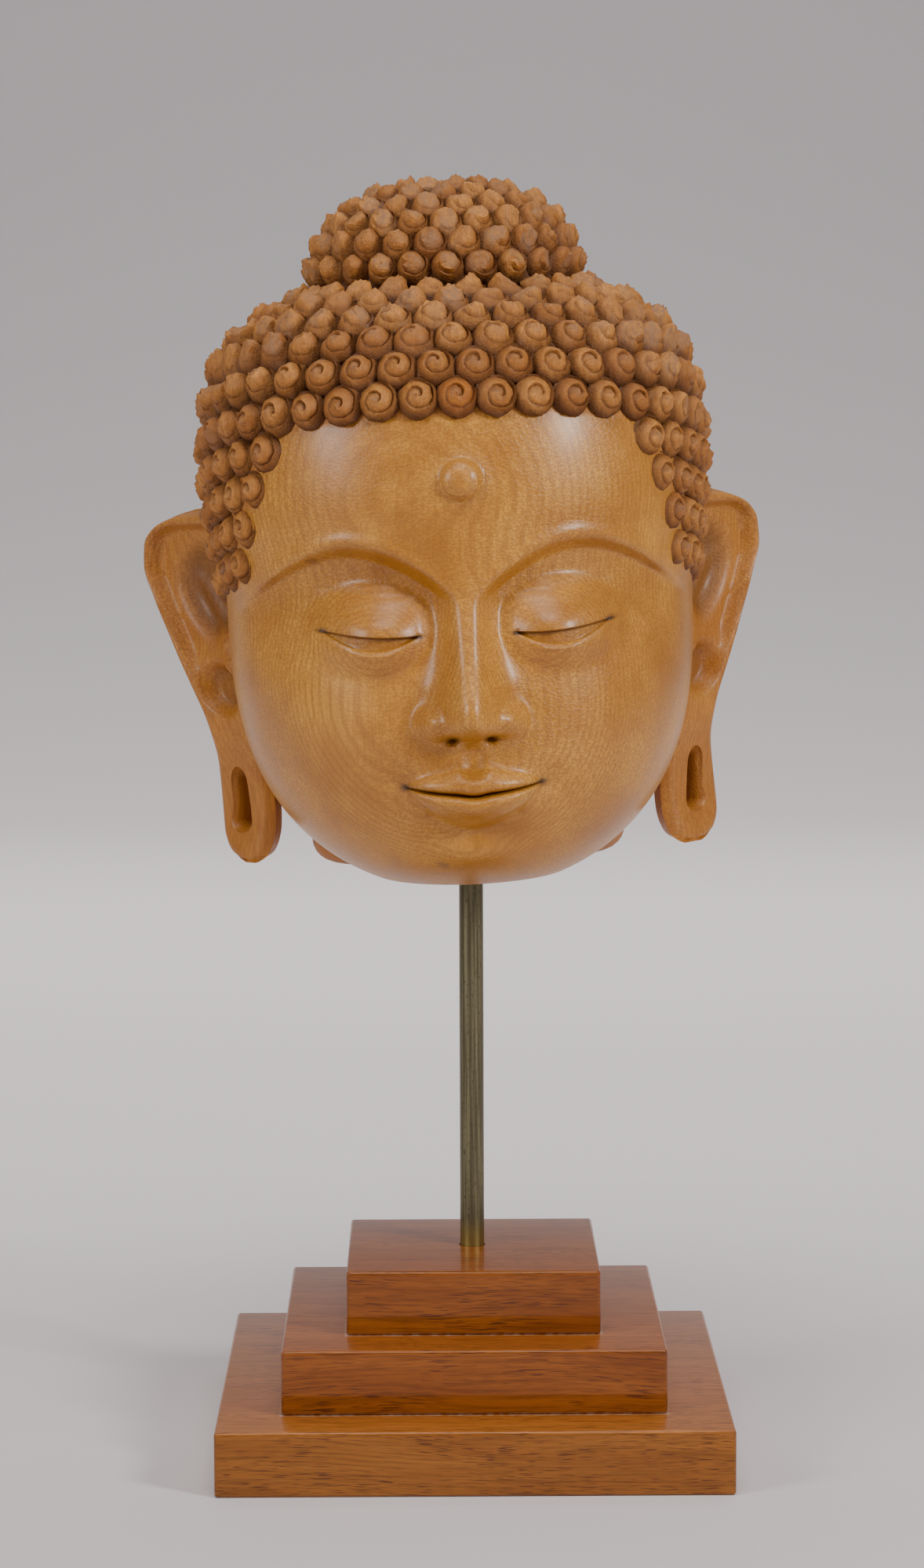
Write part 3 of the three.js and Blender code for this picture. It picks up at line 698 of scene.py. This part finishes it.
# How far out the ear's rim and its root lie, and its thickness, by its height from 0 to 1
ear_rim = through([
    (0, 5.9), (0.008, 6.06), (0.03, 6.25), (0.09, 6.37), (0.27, 6.39), (0.39, 6.57), (0.5, 6.87),
    (0.63, 7.27), (0.75, 7.66), (0.84, 7.88), (0.9, 7.85), (0.945, 7.62), (0.98, 7.1), (1, 6.5),
])
ear_root = through([
    (0, 5.6), (0.008, 5.42), (0.03, 5.2), (0.1, 5.02), (0.14, 5), (0.25, 5.1), (0.36, 5.4), (1, 5.85),
])
ear_thickness = through([(0, LOBE_THICKNESS), (0.3, LOBE_THICKNESS), (0.6, 0.85), (1, 0.8)])
# The two ears differ a little in how far they flare at the top and reach out at the lobe
EARS = (
    {"side": -1, "flare": 0.2, "lobe": -0.05},
    {"side": 1, "flare": 0, "lobe": 0.2},
)
EAR_SQUARE = math.hypot(EAR_SLANT, 1)


def ear_root_depth(height):
    return lerp(0.1, 0.3, height)


def ear_place(form, share, height, depth):
    """A point of an ear, by its share of the way from root to rim, its height and its depth."""
    root = ear_root(height)
    flared = form["flare"] * step(height, 0.15, 0.85)
    widened = form["lobe"] * (1 - step(height, 0, 0.35))
    out = lerp(root, ear_rim(height) + flared + widened, share)
    x = form["side"] * (out + depth * EAR_SLANT / EAR_SQUARE)
    y = ear_root_depth(height) + EAR_SLANT * (out - root) - depth / EAR_SQUARE
    return np.stack([x, y, lerp(EAR_BOTTOM, EAR_TOP, height) + 0 * x], -1)


def ear_edge(share, height):
    """The distance from the ear's outline. Where the ear grows from the head there is no edge."""
    width = (ear_rim(height) - ear_root(height)) * EAR_SQUARE
    reach = EAR_TOP - EAR_BOTTOM
    joined = 9 * step(height, 0.27, 0.4)
    to_rim, to_root = (1 - share) * width, share * width + joined
    to_top, to_bottom = (1 - height) * reach + 0 * share, height * reach + 0 * share
    ways = np.stack([to_rim, to_root, to_top, to_bottom])
    corner = 0.16
    return -corner * np.log(np.exp(-ways / corner).sum(0))


def ear_rounding(share, height):
    """The share of the ear's thickness that is left near its edge, which is rounded over."""
    inward = np.clip(ear_edge(share, height) / 0.4, 0.02, 1)
    return np.sqrt(1 - (1 - inward) ** 2)


def ear_front(share, height):
    """How far the ear's face stands out, with its rim, inner fold and hollows."""
    edge = ear_edge(share, height)
    dish = np.hypot((share - 0.36) / 0.4, (height - 0.765) / 0.17)
    bowl = np.hypot((share - 0.42) / 0.4, (height - 0.49) / 0.085)
    upper = step(height, 0.5, 0.62)
    roll = 0.13 * crest(edge, 0.26, 0.16) * step(height, 0.3, 0.6)
    scapha = 0.28 * step(edge, 0.34, 0.6) * upper
    inner_fold = 0.12 * crest(share - 0.34, 1.5 * (height - 0.68), 0.08) * upper
    inner_fold *= 1 - step(height, 0.78, 0.86)
    hollow = 0.42 * step(1 - dish, 0, 0.6) + 0.46 * step(1 - bowl, 0, 0.5)
    tragus = 0.12 * bell(share, height, 0.12, 0.56, 0.12, 0.02)
    face = 0.5 * ear_thickness(height) * ear_rounding(share, height)
    return face - hollow - scapha + roll + inner_fold + tragus


def ear_painted_shade_and_grime(form, points):
    """How dark the painted shade, with some soiling, is at points of an ear, from how deep in its hollows
    they lie.
    """
    out, y, z = form["side"] * points[:, 0], points[:, 1], points[:, 2]
    height = np.clip((z - EAR_BOTTOM) / (EAR_TOP - EAR_BOTTOM), 0, 1)
    depth = ((out - ear_root(height)) * EAR_SLANT - (y - ear_root_depth(height))) / EAR_SQUARE
    in_hollow = step(0.16 - depth, 0, 0.34) * step(depth, -0.38, -0.28)
    return 0.55 * in_hollow * step(height, 0.38, 0.46)


def placed(name, data):
    """A new object in the scene."""
    made = bpy.data.objects.new(name, data)
    bpy.context.scene.collection.objects.link(made)
    return made


def mesh_of(name, points, faces):
    """A mesh object in the scene, its faces all turned outwards."""
    mesh = bpy.data.meshes.new(name)
    mesh.from_pydata(np.asarray(points).tolist(), [], faces)
    turned = bmesh.new()
    turned.from_mesh(mesh)
    bmesh.ops.recalc_face_normals(turned, faces=turned.faces)
    turned.to_mesh(mesh)
    turned.free()
    return placed(name, mesh)


def lobe_slot(form):
    """The cutter for the slot through an ear lobe. It flares at both faces to break the edges."""
    middle = ear_place(form, 0.5, (LOBE_SLOT_HEIGHT - EAR_BOTTOM) / (EAR_TOP - EAR_BOTTOM), 0)
    bend = math.atan(EAR_SLANT)
    across = np.array([math.cos(bend) * form["side"], math.sin(bend), 0])
    inwards = np.array([math.sin(bend) * form["side"], -math.cos(bend), 0])
    end = (LOBE_SLOT_LENGTH - LOBE_SLOT_WIDTH) / 2
    around = 36
    flares = ((0.16, 0), (0.3, 0.05), (0.4, 0.13), (1, 0.16))
    rings = [(-depth, wider) for depth, wider in reversed(flares)] + list(flares)
    points = []
    for depth, wider in rings:
        half = LOBE_SLOT_WIDTH / 2 + wider
        for i in range(around):
            a = 2 * math.pi * (i + 0.5) / around
            up = half * math.sin(a) + math.copysign(end, math.sin(a))
            sideways = across * half * math.cos(a) * (1 - 0.14 * up / end)
            points.append(middle + sideways + [0, 0, up] + inwards * depth)
    return mesh_of("lobe_slot", np.array(points) * FINGER, capped_faces(len(rings), around))


def ear_mesh(form):
    """One ear's points and faces, with the slot cut through its lobe."""
    t = np.linspace(0, 1, 92)
    heights = 0.55 * t + 0.45 * (0.5 - 0.5 * np.cos(math.pi * t))
    shares = 1 - (1 - np.linspace(0, 1, 28)) ** 1.4
    back_shares = np.array([0.98, 0.93, 0.84, 0.68, 0.4, 0.12])
    rings = []
    for height in heights:
        front = ear_place(form, shares, height, ear_front(shares, height))
        backs = -0.5 * ear_thickness(height) * ear_rounding(back_shares, height)
        rings.append(np.concatenate([front, ear_place(form, back_shares, height, backs)]))
    points, faces = closed_shell(rings, rings[0].mean(0), rings[-1].mean(0))
    ear = mesh_of("ear", points * FINGER, faces)
    slot = lobe_slot(form)
    cut = ear.modifiers.new("slot", "BOOLEAN")
    cut.operation, cut.solver, cut.object = "DIFFERENCE", "EXACT", slot
    carved = ear.evaluated_get(bpy.context.evaluated_depsgraph_get()).data
    points = np.array([v.co[:] for v in carved.vertices]) / FINGER
    faces = [tuple(p.vertices) for p in carved.polygons]
    bpy.data.objects.remove(ear)
    bpy.data.objects.remove(slot)
    return points, faces


def smooth(mesh, crease):
    """Smooth shading, but for edges where two faces meet at more than the crease angle."""
    mesh.polygons.foreach_set("use_smooth", np.ones(len(mesh.polygons), bool))
    mesh.set_sharp_from_angle(angle=math.radians(crease))


def head_placement():
    """Where the head stands in the frame: turned and leaning, its neck's underside on its level."""
    place = Matrix.Translation((0, NECK_BEHIND_ROD, NECK_LEVEL - NECK_UNDERSIDE * FINGER))
    return place @ Matrix.Rotation(HEAD_TURN, 4, "Z") @ Matrix.Rotation(-HEAD_LEAN, 4, "Y")


def carve_head():
    """All the closed shells of the head as one mesh, with their tones as attributes."""
    placement = head_placement()
    into_head = placement.inverted()
    carving = Carving()
    carve_skull(carving)
    carve_neck(carving, into_head)
    carve_hair(carving)
    carve_topknot(carving)
    for form in EARS:
        points, faces = ear_mesh(form)
        carving.add(points, faces, red=0.5, dirt=ear_painted_shade_and_grime(form, points))
    points = np.concatenate(carving.points) * FINGER
    world = points @ np.array(placement.to_3x3()).T + np.array(placement.translation)
    head = mesh_of("buddha_head_carved", world, carving.faces)
    mesh = head.data
    sharp = {tuple(sorted(edge)) for edge in carving.sharp}
    smooth(mesh, 48)
    marks = mesh.attributes["sharp_edge"]
    for edge, mark in zip(mesh.edges, marks.data):
        if tuple(sorted(edge.vertices)) in sharp:
            mark.value = True
    for name, values in carving.tones.items():
        layer = mesh.attributes.new(name, "FLOAT", "POINT")
        layer.data.foreach_set("value", np.concatenate(values).astype(np.float32))
    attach(head, "root")
    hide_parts("buddha_head")
    return head


def plane_board(node):
    """A board with every edge rounded over, and the rod's hole where it has one."""
    low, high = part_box(node)
    mesh = bpy.data.meshes.new(node)
    shape = bmesh.new()
    bmesh.ops.create_cube(shape, size=1)
    bmesh.ops.scale(shape, vec=high - low, verts=shape.verts)
    bmesh.ops.translate(shape, vec=(high + low) / 2, verts=shape.verts)
    bmesh.ops.bevel(shape, geom=shape.edges[:], offset=BOARD_EDGE, segments=5, profile=0.5, affect="EDGES")
    shape.to_mesh(mesh)
    shape.free()
    board = placed(node + "_planed", mesh)
    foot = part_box("brass_rod")[0][2]
    if high[2] > foot:
        radius, around = ROD_RADIUS + ROD_CLEARANCE, 64
        ring = [(radius * math.sin(a), -radius * math.cos(a)) for a in circle(around)]
        points = [(x, y, z) for z in (foot, BASE_TOP + 0.001) for x, y in ring]
        drill = mesh_of("drill", points, capped_faces(2, around))
        cut = board.modifiers.new("rod_hole", "BOOLEAN")
        cut.operation, cut.solver, cut.object = "DIFFERENCE", "EXACT", drill
        drilled = board.evaluated_get(bpy.context.evaluated_depsgraph_get())
        board.data = bpy.data.meshes.new_from_object(drilled)
        board.modifiers.clear()
        bpy.data.objects.remove(drill)
    smooth(board.data, 35)
    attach(board, "root")
    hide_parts(node)
    return board


def turn_rod():
    """The rod, as its solid but finely round."""
    low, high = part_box("brass_rod")
    around, chamfer = 48, ROD_CHAMFER
    stations = [(ROD_RADIUS - chamfer, low[2]), (ROD_RADIUS, low[2] + chamfer)]
    stations += [(ROD_RADIUS, high[2] - chamfer), (ROD_RADIUS - chamfer, high[2])]
    points = [(r * math.sin(a), -r * math.cos(a), z) for r, z in stations for a in circle(around)]
    rod = mesh_of("brass_rod_turned", points, capped_faces(len(stations), around))
    smooth(rod.data, 30)
    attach(rod, "root")
    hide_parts("brass_rod")
    return rod


# Materials


class Finish:
    """Builds one procedural material, node by node."""

    def __init__(self, name):
        self.material = bpy.data.materials.new(name)
        self.material.use_nodes = True
        self.tree = self.material.node_tree
        self.shader = self.tree.nodes["Principled BSDF"]
        self.place = self.tree.nodes.new("ShaderNodeTexCoord").outputs["Object"]

    def put(self, socket, value):
        if isinstance(value, bpy.types.NodeSocket):
            self.tree.links.new(value, socket)
        elif socket.type == "RGBA":
            socket.default_value = (*value, 1)
        else:
            socket.default_value = value

    def node(self, kind, inputs, **settings):
        node = self.tree.nodes.new("ShaderNode" + kind)
        for name, value in settings.items():
            setattr(node, name, value)
        for name, value in inputs.items():
            self.put(node.inputs[name], value)
        return node

    def math(self, operation, a, b=0.0):
        return self.node("Math", {0: a, 1: b}, operation=operation).outputs[0]

    def times(self, a, b):
        return self.math("MULTIPLY", a, b)

    def attribute(self, name):
        return self.node("Attribute", {}, attribute_name=name).outputs["Fac"]

    def stretched(self, scale, turn=(0, 0, 0)):
        return self.node("Mapping", {"Vector": self.place, "Scale": scale, "Rotation": turn}).outputs[0]

    def noise(self, at, scale, detail=2.0, roughness=0.5, distortion=0.0):
        return self.node("TexNoise", {
            "Vector": at, "Scale": scale, "Detail": detail, "Roughness": roughness, "Distortion": distortion,
        }).outputs["Fac"]

    def remap(self, value, low, high, to_low=0.0, to_high=1.0):
        return self.node("MapRange", {
            "Value": value, "From Min": low, "From Max": high, "To Min": to_low, "To Max": to_high,
        }, interpolation_type="SMOOTHSTEP").outputs[0]

    def spot(self, centre, radius, core):
        """A soft round mark in the wood, full at its core."""
        distance = self.node("VectorMath", {0: self.place, 1: centre}, operation="DISTANCE")
        return self.remap(distance.outputs["Value"], radius, core)

    def mix(self, share, a, b):
        """Colour a turned into colour b by a share."""
        mixed = self.node("Mix", {}, data_type="RGBA")
        self.put(mixed.inputs[0], share)
        self.put(mixed.inputs[6], a)
        self.put(mixed.inputs[7], b)
        return mixed.outputs[2]

    def bump(self, height, distance, strength=1.0):
        return self.node("Bump", {"Height": height, "Distance": distance, "Strength": strength}).outputs[0]

    def set(self, **values):
        for name, value in values.items():
            self.put(self.shader.inputs[name.replace("_", " ")], value)
        return self.material


# Places in the carved wood: a small knot, a grey smudge and the heart of its growth rings
KNOT = (-0.0461, -0.0660, 0.2730)
SMUDGE = (-0.0086, -0.0681, 0.1850)
HEART = (0.03, 0.24, 0)


def carved_wood():
    """The head's wood. The mesh says where it is hair, painted shade with some soiling, worn or reddened,
    and each curl's tone.
    """
    f = Finish("carved_wood_waxed")
    hair, dirt, worn = f.attribute("hair"), f.attribute("dirt"), f.attribute("worn")
    tone, red = f.attribute("tone"), f.attribute("red")

    # Growth rings round a heart well behind the head, fibres that run up it, and a fine fleck
    leaning = f.stretched((1, 1, 0.3), (0.1, -0.14, 0))
    from_heart = f.node("VectorMath", {0: leaning, 1: HEART}, operation="SUBTRACT")
    rings = f.node("TexWave", {
        "Vector": from_heart.outputs[0], "Scale": 270.0, "Distortion": 4.0,
        "Detail": 2.0, "Detail Scale": 0.15, "Detail Roughness": 0.5,
    }, wave_type="RINGS", rings_direction="Z", wave_profile="SIN").outputs["Fac"]
    fibres = f.noise(f.stretched((1, 1, 0.05), (0.05, 0.04, 0)), 1500.0, 3.0, 0.6)
    fleck = f.noise(f.stretched((0.7, 0.8, 1), (0, 0.3, 0)), 1500.0, 1.0, 0.5, 0.2)
    patches = f.noise(f.place, 30.0, 3.0, 0.6)
    fleck_shown = f.remap(f.noise(f.place, 14.0, 1.0), 0.34, 0.55, 0.3, 1.0)

    # The golden face, and the redder wood of the ears and the neck
    deep_gold, bright_gold = (0.40, 0.152, 0.017), (0.64, 0.297, 0.043)
    fibre_brown, ring_brown, fleck_brown = (0.30, 0.10, 0.013), (0.26, 0.09, 0.012), (0.28, 0.10, 0.013)
    knot_brown, smudge_grey = (0.16, 0.055, 0.012), (0.12, 0.08, 0.05)
    ear_red, ear_brown, shade_and_grime_brown = (0.38, 0.125, 0.020), (0.28, 0.087, 0.014), (0.04, 0.014, 0.005)
    golden = f.mix(f.remap(patches, 0.3, 0.7), deep_gold, bright_gold)
    golden = f.mix(f.remap(fibres, 0.42, 0.66, 0.0, 0.34), golden, fibre_brown)
    golden = f.mix(f.times(f.remap(rings, 0.45, 0.95), 0.3), golden, ring_brown)
    fleck_depth = f.times(f.remap(fleck, 0.36, 0.62), fleck_shown)
    golden = f.mix(f.times(fleck_depth, 0.5), golden, fleck_brown)
    golden = f.mix(f.times(f.spot(KNOT, 0.0028, 0.0008), 0.55), golden, knot_brown)
    golden = f.mix(f.times(f.spot(SMUDGE, 0.0032, 0.0006), 0.5), golden, smudge_grey)
    reddened = f.mix(f.remap(fibres, 0.35, 0.65), ear_red, ear_brown)
    skin = f.mix(red, golden, reddened)
    # Painted shade, with some soiling, darkens the creases and hollows
    skin = f.mix(f.times(dirt, 0.92), skin, shade_and_grime_brown)

    # The hair: each curl has its own tone, greyed where its tip is worn, and painted dark in its groove and
    # round its rim as painted shade
    dull_curl, bright_curl, rubbed_curl = (0.34, 0.118, 0.018), (0.54, 0.218, 0.040), (0.42, 0.13, 0.012)
    strand_brown, worn_grey, groove_painted_shade = (0.26, 0.087, 0.016), (0.26, 0.132, 0.064), (0.055, 0.017, 0.006)
    strands = f.noise(f.stretched((1, 1, 0.3)), 800.0, 3.0, 0.66)
    locks = f.mix(tone, dull_curl, bright_curl)
    locks = f.mix(f.times(red, f.remap(patches, 0.35, 0.6, 0.3, 1.0)), locks, rubbed_curl)
    locks = f.mix(f.remap(strands, 0.35, 0.66, 0.0, 0.58), locks, strand_brown)
    locks = f.mix(f.times(worn, f.remap(strands, 0.3, 0.6, 0.2, 0.9)), locks, worn_grey)
    # Painted shade in the grooves and between the curls
    locks = f.mix(f.times(dirt, 0.85), locks, groove_painted_shade)

    # Wax shines on the face, and hardly on the ears and the hair
    color = f.mix(hair, skin, locks)
    satin = f.remap(f.noise(f.place, 60.0, 3.0), 0.3, 0.7, 0.37, 0.47)
    unwaxed = f.math("MAXIMUM", hair, red)
    rough = f.math("ADD", satin, f.times(unwaxed, 0.24))
    gloss = f.math("SUBTRACT", 0.28, f.times(unwaxed, 0.26))
    grain = f.times(strands, f.times(hair, 3.2))
    grain = f.math("ADD", grain, f.times(fleck_depth, 0.55))
    grain = f.math("ADD", grain, f.times(fibres, red))
    return f.set(
        Base_Color=color, Roughness=rough, Specular_IOR_Level=0.36, Normal=f.bump(grain, 0.00012),
        Coat_Weight=gloss, Coat_Roughness=0.26,
    )


# Colours on the boards: a painted light on their tops, in their pores, and in their corners
TOP_PAINTED_LIGHT = (0.60, 0.19, 0.05)
PORE_BROWN = (0.065, 0.016, 0.006)
DUST = (0.45, 0.30, 0.20)


def varnished_wood(node, along, pale, dark, painted_top_light, stands_on_it):
    """A red-brown board's wood, its grain along X: dark pores in short dashes under clear varnish.
    Along is where in the plank the board was cut, and painted_top_light how much painted light lightens its
    top."""
    f = Finish("varnish_" + node)
    at = f.place
    f.place = f.node("VectorMath", {0: at, 1: (along, 0, 0)}, operation="ADD").outputs[0]
    bend = f.noise(f.stretched((0.35, 1, 1)), 30.0, 1.0)
    lifted = f.node("CombineXYZ", {"Z": f.times(bend, 0.012)}).outputs[0]
    f.place = f.node("VectorMath", {0: f.place, 1: lifted}, operation="ADD").outputs[0]
    broad = f.noise(f.stretched((0.1, 1, 1)), 90.0, 3.0, 0.55, 0.6)
    streaks = f.noise(f.stretched((0.03, 1, 1)), 1300.0, 3.0, 0.6)
    pores = f.noise(f.stretched((0.042, 1, 1)), 4000.0, 0.0, 0.4)
    where = f.noise(f.stretched((0.3, 1, 1)), 80.0, 2.0)
    x, y, z = f.node("SeparateXYZ", {0: at}).outputs
    low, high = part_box(node)
    on_top = f.remap(z, high[2] - 0.001, high[2] - 0.0005)
    color = f.mix(f.remap(broad, 0.3, 0.7), dark, pale)
    # Painted light: the top face is painted lighter, as if lit from above
    color = f.mix(f.times(on_top, painted_top_light), color, TOP_PAINTED_LIGHT)
    color = f.mix(f.remap(streaks, 0.4, 0.7, 0.0, 0.6), color, tuple(c * 0.55 for c in dark))
    dashes = f.times(f.remap(pores, 0.58, 0.7), f.remap(where, 0.34, 0.6, 0.25, 1.0))
    color = f.mix(f.times(dashes, 0.82), color, PORE_BROWN)

    # Pale dust in the corners, at this board's foot and where the next board stands on it
    foot = f.remap(z, low[2] + 0.0002, low[2] + 0.0009, 1.0, 0.0) if low[2] > 0.001 else 0.0
    crumbs = f.remap(f.noise(at, 400.0, 3.0), 0.35, 0.65, 0.05, 0.6)
    dust = f.times(foot, crumbs)
    if stands_on_it:
        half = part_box(stands_on_it)[1][0]
        from_middle = f.math("MAXIMUM", f.math("ABSOLUTE", x), f.math("ABSOLUTE", y))
        clear_of_it = f.math("SUBTRACT", from_middle, half)
        beside_it = f.times(f.remap(clear_of_it, 0.0002, 0.0011, 1.0, 0.0), on_top)
        dust = f.math("MAXIMUM", dust, f.times(beside_it, crumbs))
    color = f.mix(dust, color, DUST)
    ripple = f.noise(at, 45.0, 2.0)
    return f.set(
        Base_Color=color, Roughness=0.4, Specular_IOR_Level=0.15, Coat_Weight=0.46, Coat_Roughness=0.08,
        Normal=f.bump(ripple, 0.0004, 0.5),
    )


def lay_boards():
    """The three boards, each cut from another stretch of wood. The lowest has the most painted light on its
    top.
    """
    steps = (
        ("base_bottom_step", 0.0, (0.30, 0.103, 0.013), (0.24, 0.076, 0.008), 0.3, "base_middle_step"),
        ("base_middle_step", 0.37, (0.285, 0.083, 0.009), (0.215, 0.055, 0.005), 0.17, "base_top_step"),
        ("base_top_step", 0.81, (0.265, 0.076, 0.008), (0.20, 0.050, 0.005), 0.06, None),
    )
    for node, along, pale, dark, painted_top_light, stands_on_it in steps:
        board = plane_board(node)
        board.data.materials.clear()
        board.data.materials.append(varnished_wood(node, along, pale, dark, painted_top_light, stands_on_it))


def aged_brass():
    """Olive brass, streaked along the rod, specked, and brighter at its foot."""
    olive, dull_gold = (0.10, 0.088, 0.050), (0.21, 0.185, 0.105)
    speck_brown, rubbed = (0.05, 0.045, 0.03), (0.40, 0.30, 0.09)
    f = Finish("brass_aged")
    streaks = f.noise(f.stretched((1, 1, 0.02)), 1400.0, 3.0, 0.6)
    specks = f.noise(f.stretched((1, 1, 0.5)), 1600.0, 2.0, 0.7)
    height = f.node("SeparateXYZ", {0: f.place}).outputs[2]
    foot = f.remap(height, BASE_TOP + 0.010, BASE_TOP, 0.0, 0.8)
    color = f.mix(f.remap(streaks, 0.35, 0.65), olive, dull_gold)
    color = f.mix(f.remap(specks, 0.58, 0.7, 0.0, 0.7), color, speck_brown)
    color = f.mix(foot, color, rubbed)
    rough = f.remap(streaks, 0.3, 0.7, 0.28, 0.48)
    return f.set(Base_Color=color, Metallic=0.85, Roughness=rough, Normal=f.bump(streaks, 0.00006))


head = carve_head()
rod = turn_rod()
head.data.materials.append(carved_wood())
rod.data.materials.append(aged_brass())
lay_boards()


# Camera, light and floor. Angles are in degrees

CAMERA_PLACE = (-0.01115, -1.274, 0.3372)
CAMERA_TURN, CAMERA_TILT, CAMERA_ROLL = -0.382, -6.092, 0.209
SENSOR, LENS = 36, 96.5
HEAD_MIDDLE = Vector((0, 0, 0.25))
WALL_FOOT = Vector((0, 2.8, 0))
AMBIENT = 0.16

camera_data = bpy.data.cameras.new("camera")
camera_data.sensor_width = SENSOR
camera_data.lens = LENS
camera = placed("camera", camera_data)
turned = (
    Matrix.Rotation(math.radians(CAMERA_TURN), 3, "Z")
    @ Matrix.Rotation(math.radians(CAMERA_TILT), 3, "X")
    @ Matrix.Rotation(math.radians(CAMERA_ROLL), 3, "Y")
)
look = turned @ Matrix.Rotation(math.radians(90), 3, "X")
camera.matrix_world = Matrix.Translation(CAMERA_PLACE) @ look.to_4x4()
bpy.context.scene.camera = camera


def softbox(name, azimuth, elevation, distance, width, height, power, target=HEAD_MIDDLE):
    """A rectangular lamp turned to its target. Azimuth 0 is in front of the head, 90 towards +X."""
    data = bpy.data.lights.new(name, "AREA")
    data.shape, data.size, data.size_y, data.energy = "RECTANGLE", width, height, power
    light = placed(name, data)
    az, el = math.radians(azimuth), math.radians(elevation)
    away = Vector((math.sin(az) * math.cos(el), -math.cos(az) * math.cos(el), math.sin(el)))
    facing = (-away).to_track_quat("-Z", "Y").to_matrix().to_4x4()
    light.matrix_world = Matrix.Translation(target + away * distance) @ facing


softbox("key", 49, 24, 1.5, 0.24, 0.32, 15.5)
softbox("fill", -54, 20, 1.6, 0.5, 0.6, 12)
softbox("above", 0, 62, 1.7, 0.9, 0.7, 14)
softbox("behind", 180, 62, 1.6, 2.2, 0.4, 10)
softbox("wall", 0, 30, 2.1, 2.6, 0.6, 15, WALL_FOOT)
world = bpy.data.worlds.new("studio")
bpy.context.scene.world = world
world.use_nodes = True
background = world.node_tree.nodes["Background"]
background.inputs["Color"].default_value = (0.75, 0.74, 0.74, 1)
background.inputs["Strength"].default_value = AMBIENT

# A sheet of paper that lies flat, bends up in an arc and ends as a wall
HALF_WIDTH, FRONT, BEND_START, BEND_RADIUS, WALL_TOP = 4, -4, 1.6, 1.2, 4
profile = [(FRONT, 0)]
for a in np.linspace(0, math.pi / 2, 40):
    profile.append((BEND_START + BEND_RADIUS * math.sin(a), BEND_RADIUS - BEND_RADIUS * math.cos(a)))
profile.append((BEND_START + BEND_RADIUS, WALL_TOP))
points = [(x, y, z) for y, z in profile for x in (-HALF_WIDTH, HALF_WIDTH)]
strips = [(2 * i, 2 * i + 1, 2 * i + 3, 2 * i + 2) for i in range(len(profile) - 1)]
floor_mesh = bpy.data.meshes.new("floor")
floor_mesh.from_pydata(points, [], strips)
floor_mesh.polygons.foreach_set("use_smooth", [True] * len(floor_mesh.polygons))
floor = placed("floor", floor_mesh)

# Painted light and shade on the paper: darker in front, a painted pool of light behind the object, and
# greyer up the wall
front_painted_shade, middle_painted_light, wall_painted_shade = (0.66, 0.60, 0.605), (0.98, 0.885, 0.89), (0.57, 0.528, 0.538)
paper = Finish("grey_paper")
depth = paper.node("SeparateXYZ", {0: paper.place}).outputs[1]
shade = paper.mix(paper.remap(depth, 0.03, 0.45), front_painted_shade, middle_painted_light)
shade = paper.mix(paper.remap(depth, 1.1, 2.6), shade, wall_painted_shade)
floor.data.materials.append(paper.set(Base_Color=shade, Roughness=0.8))
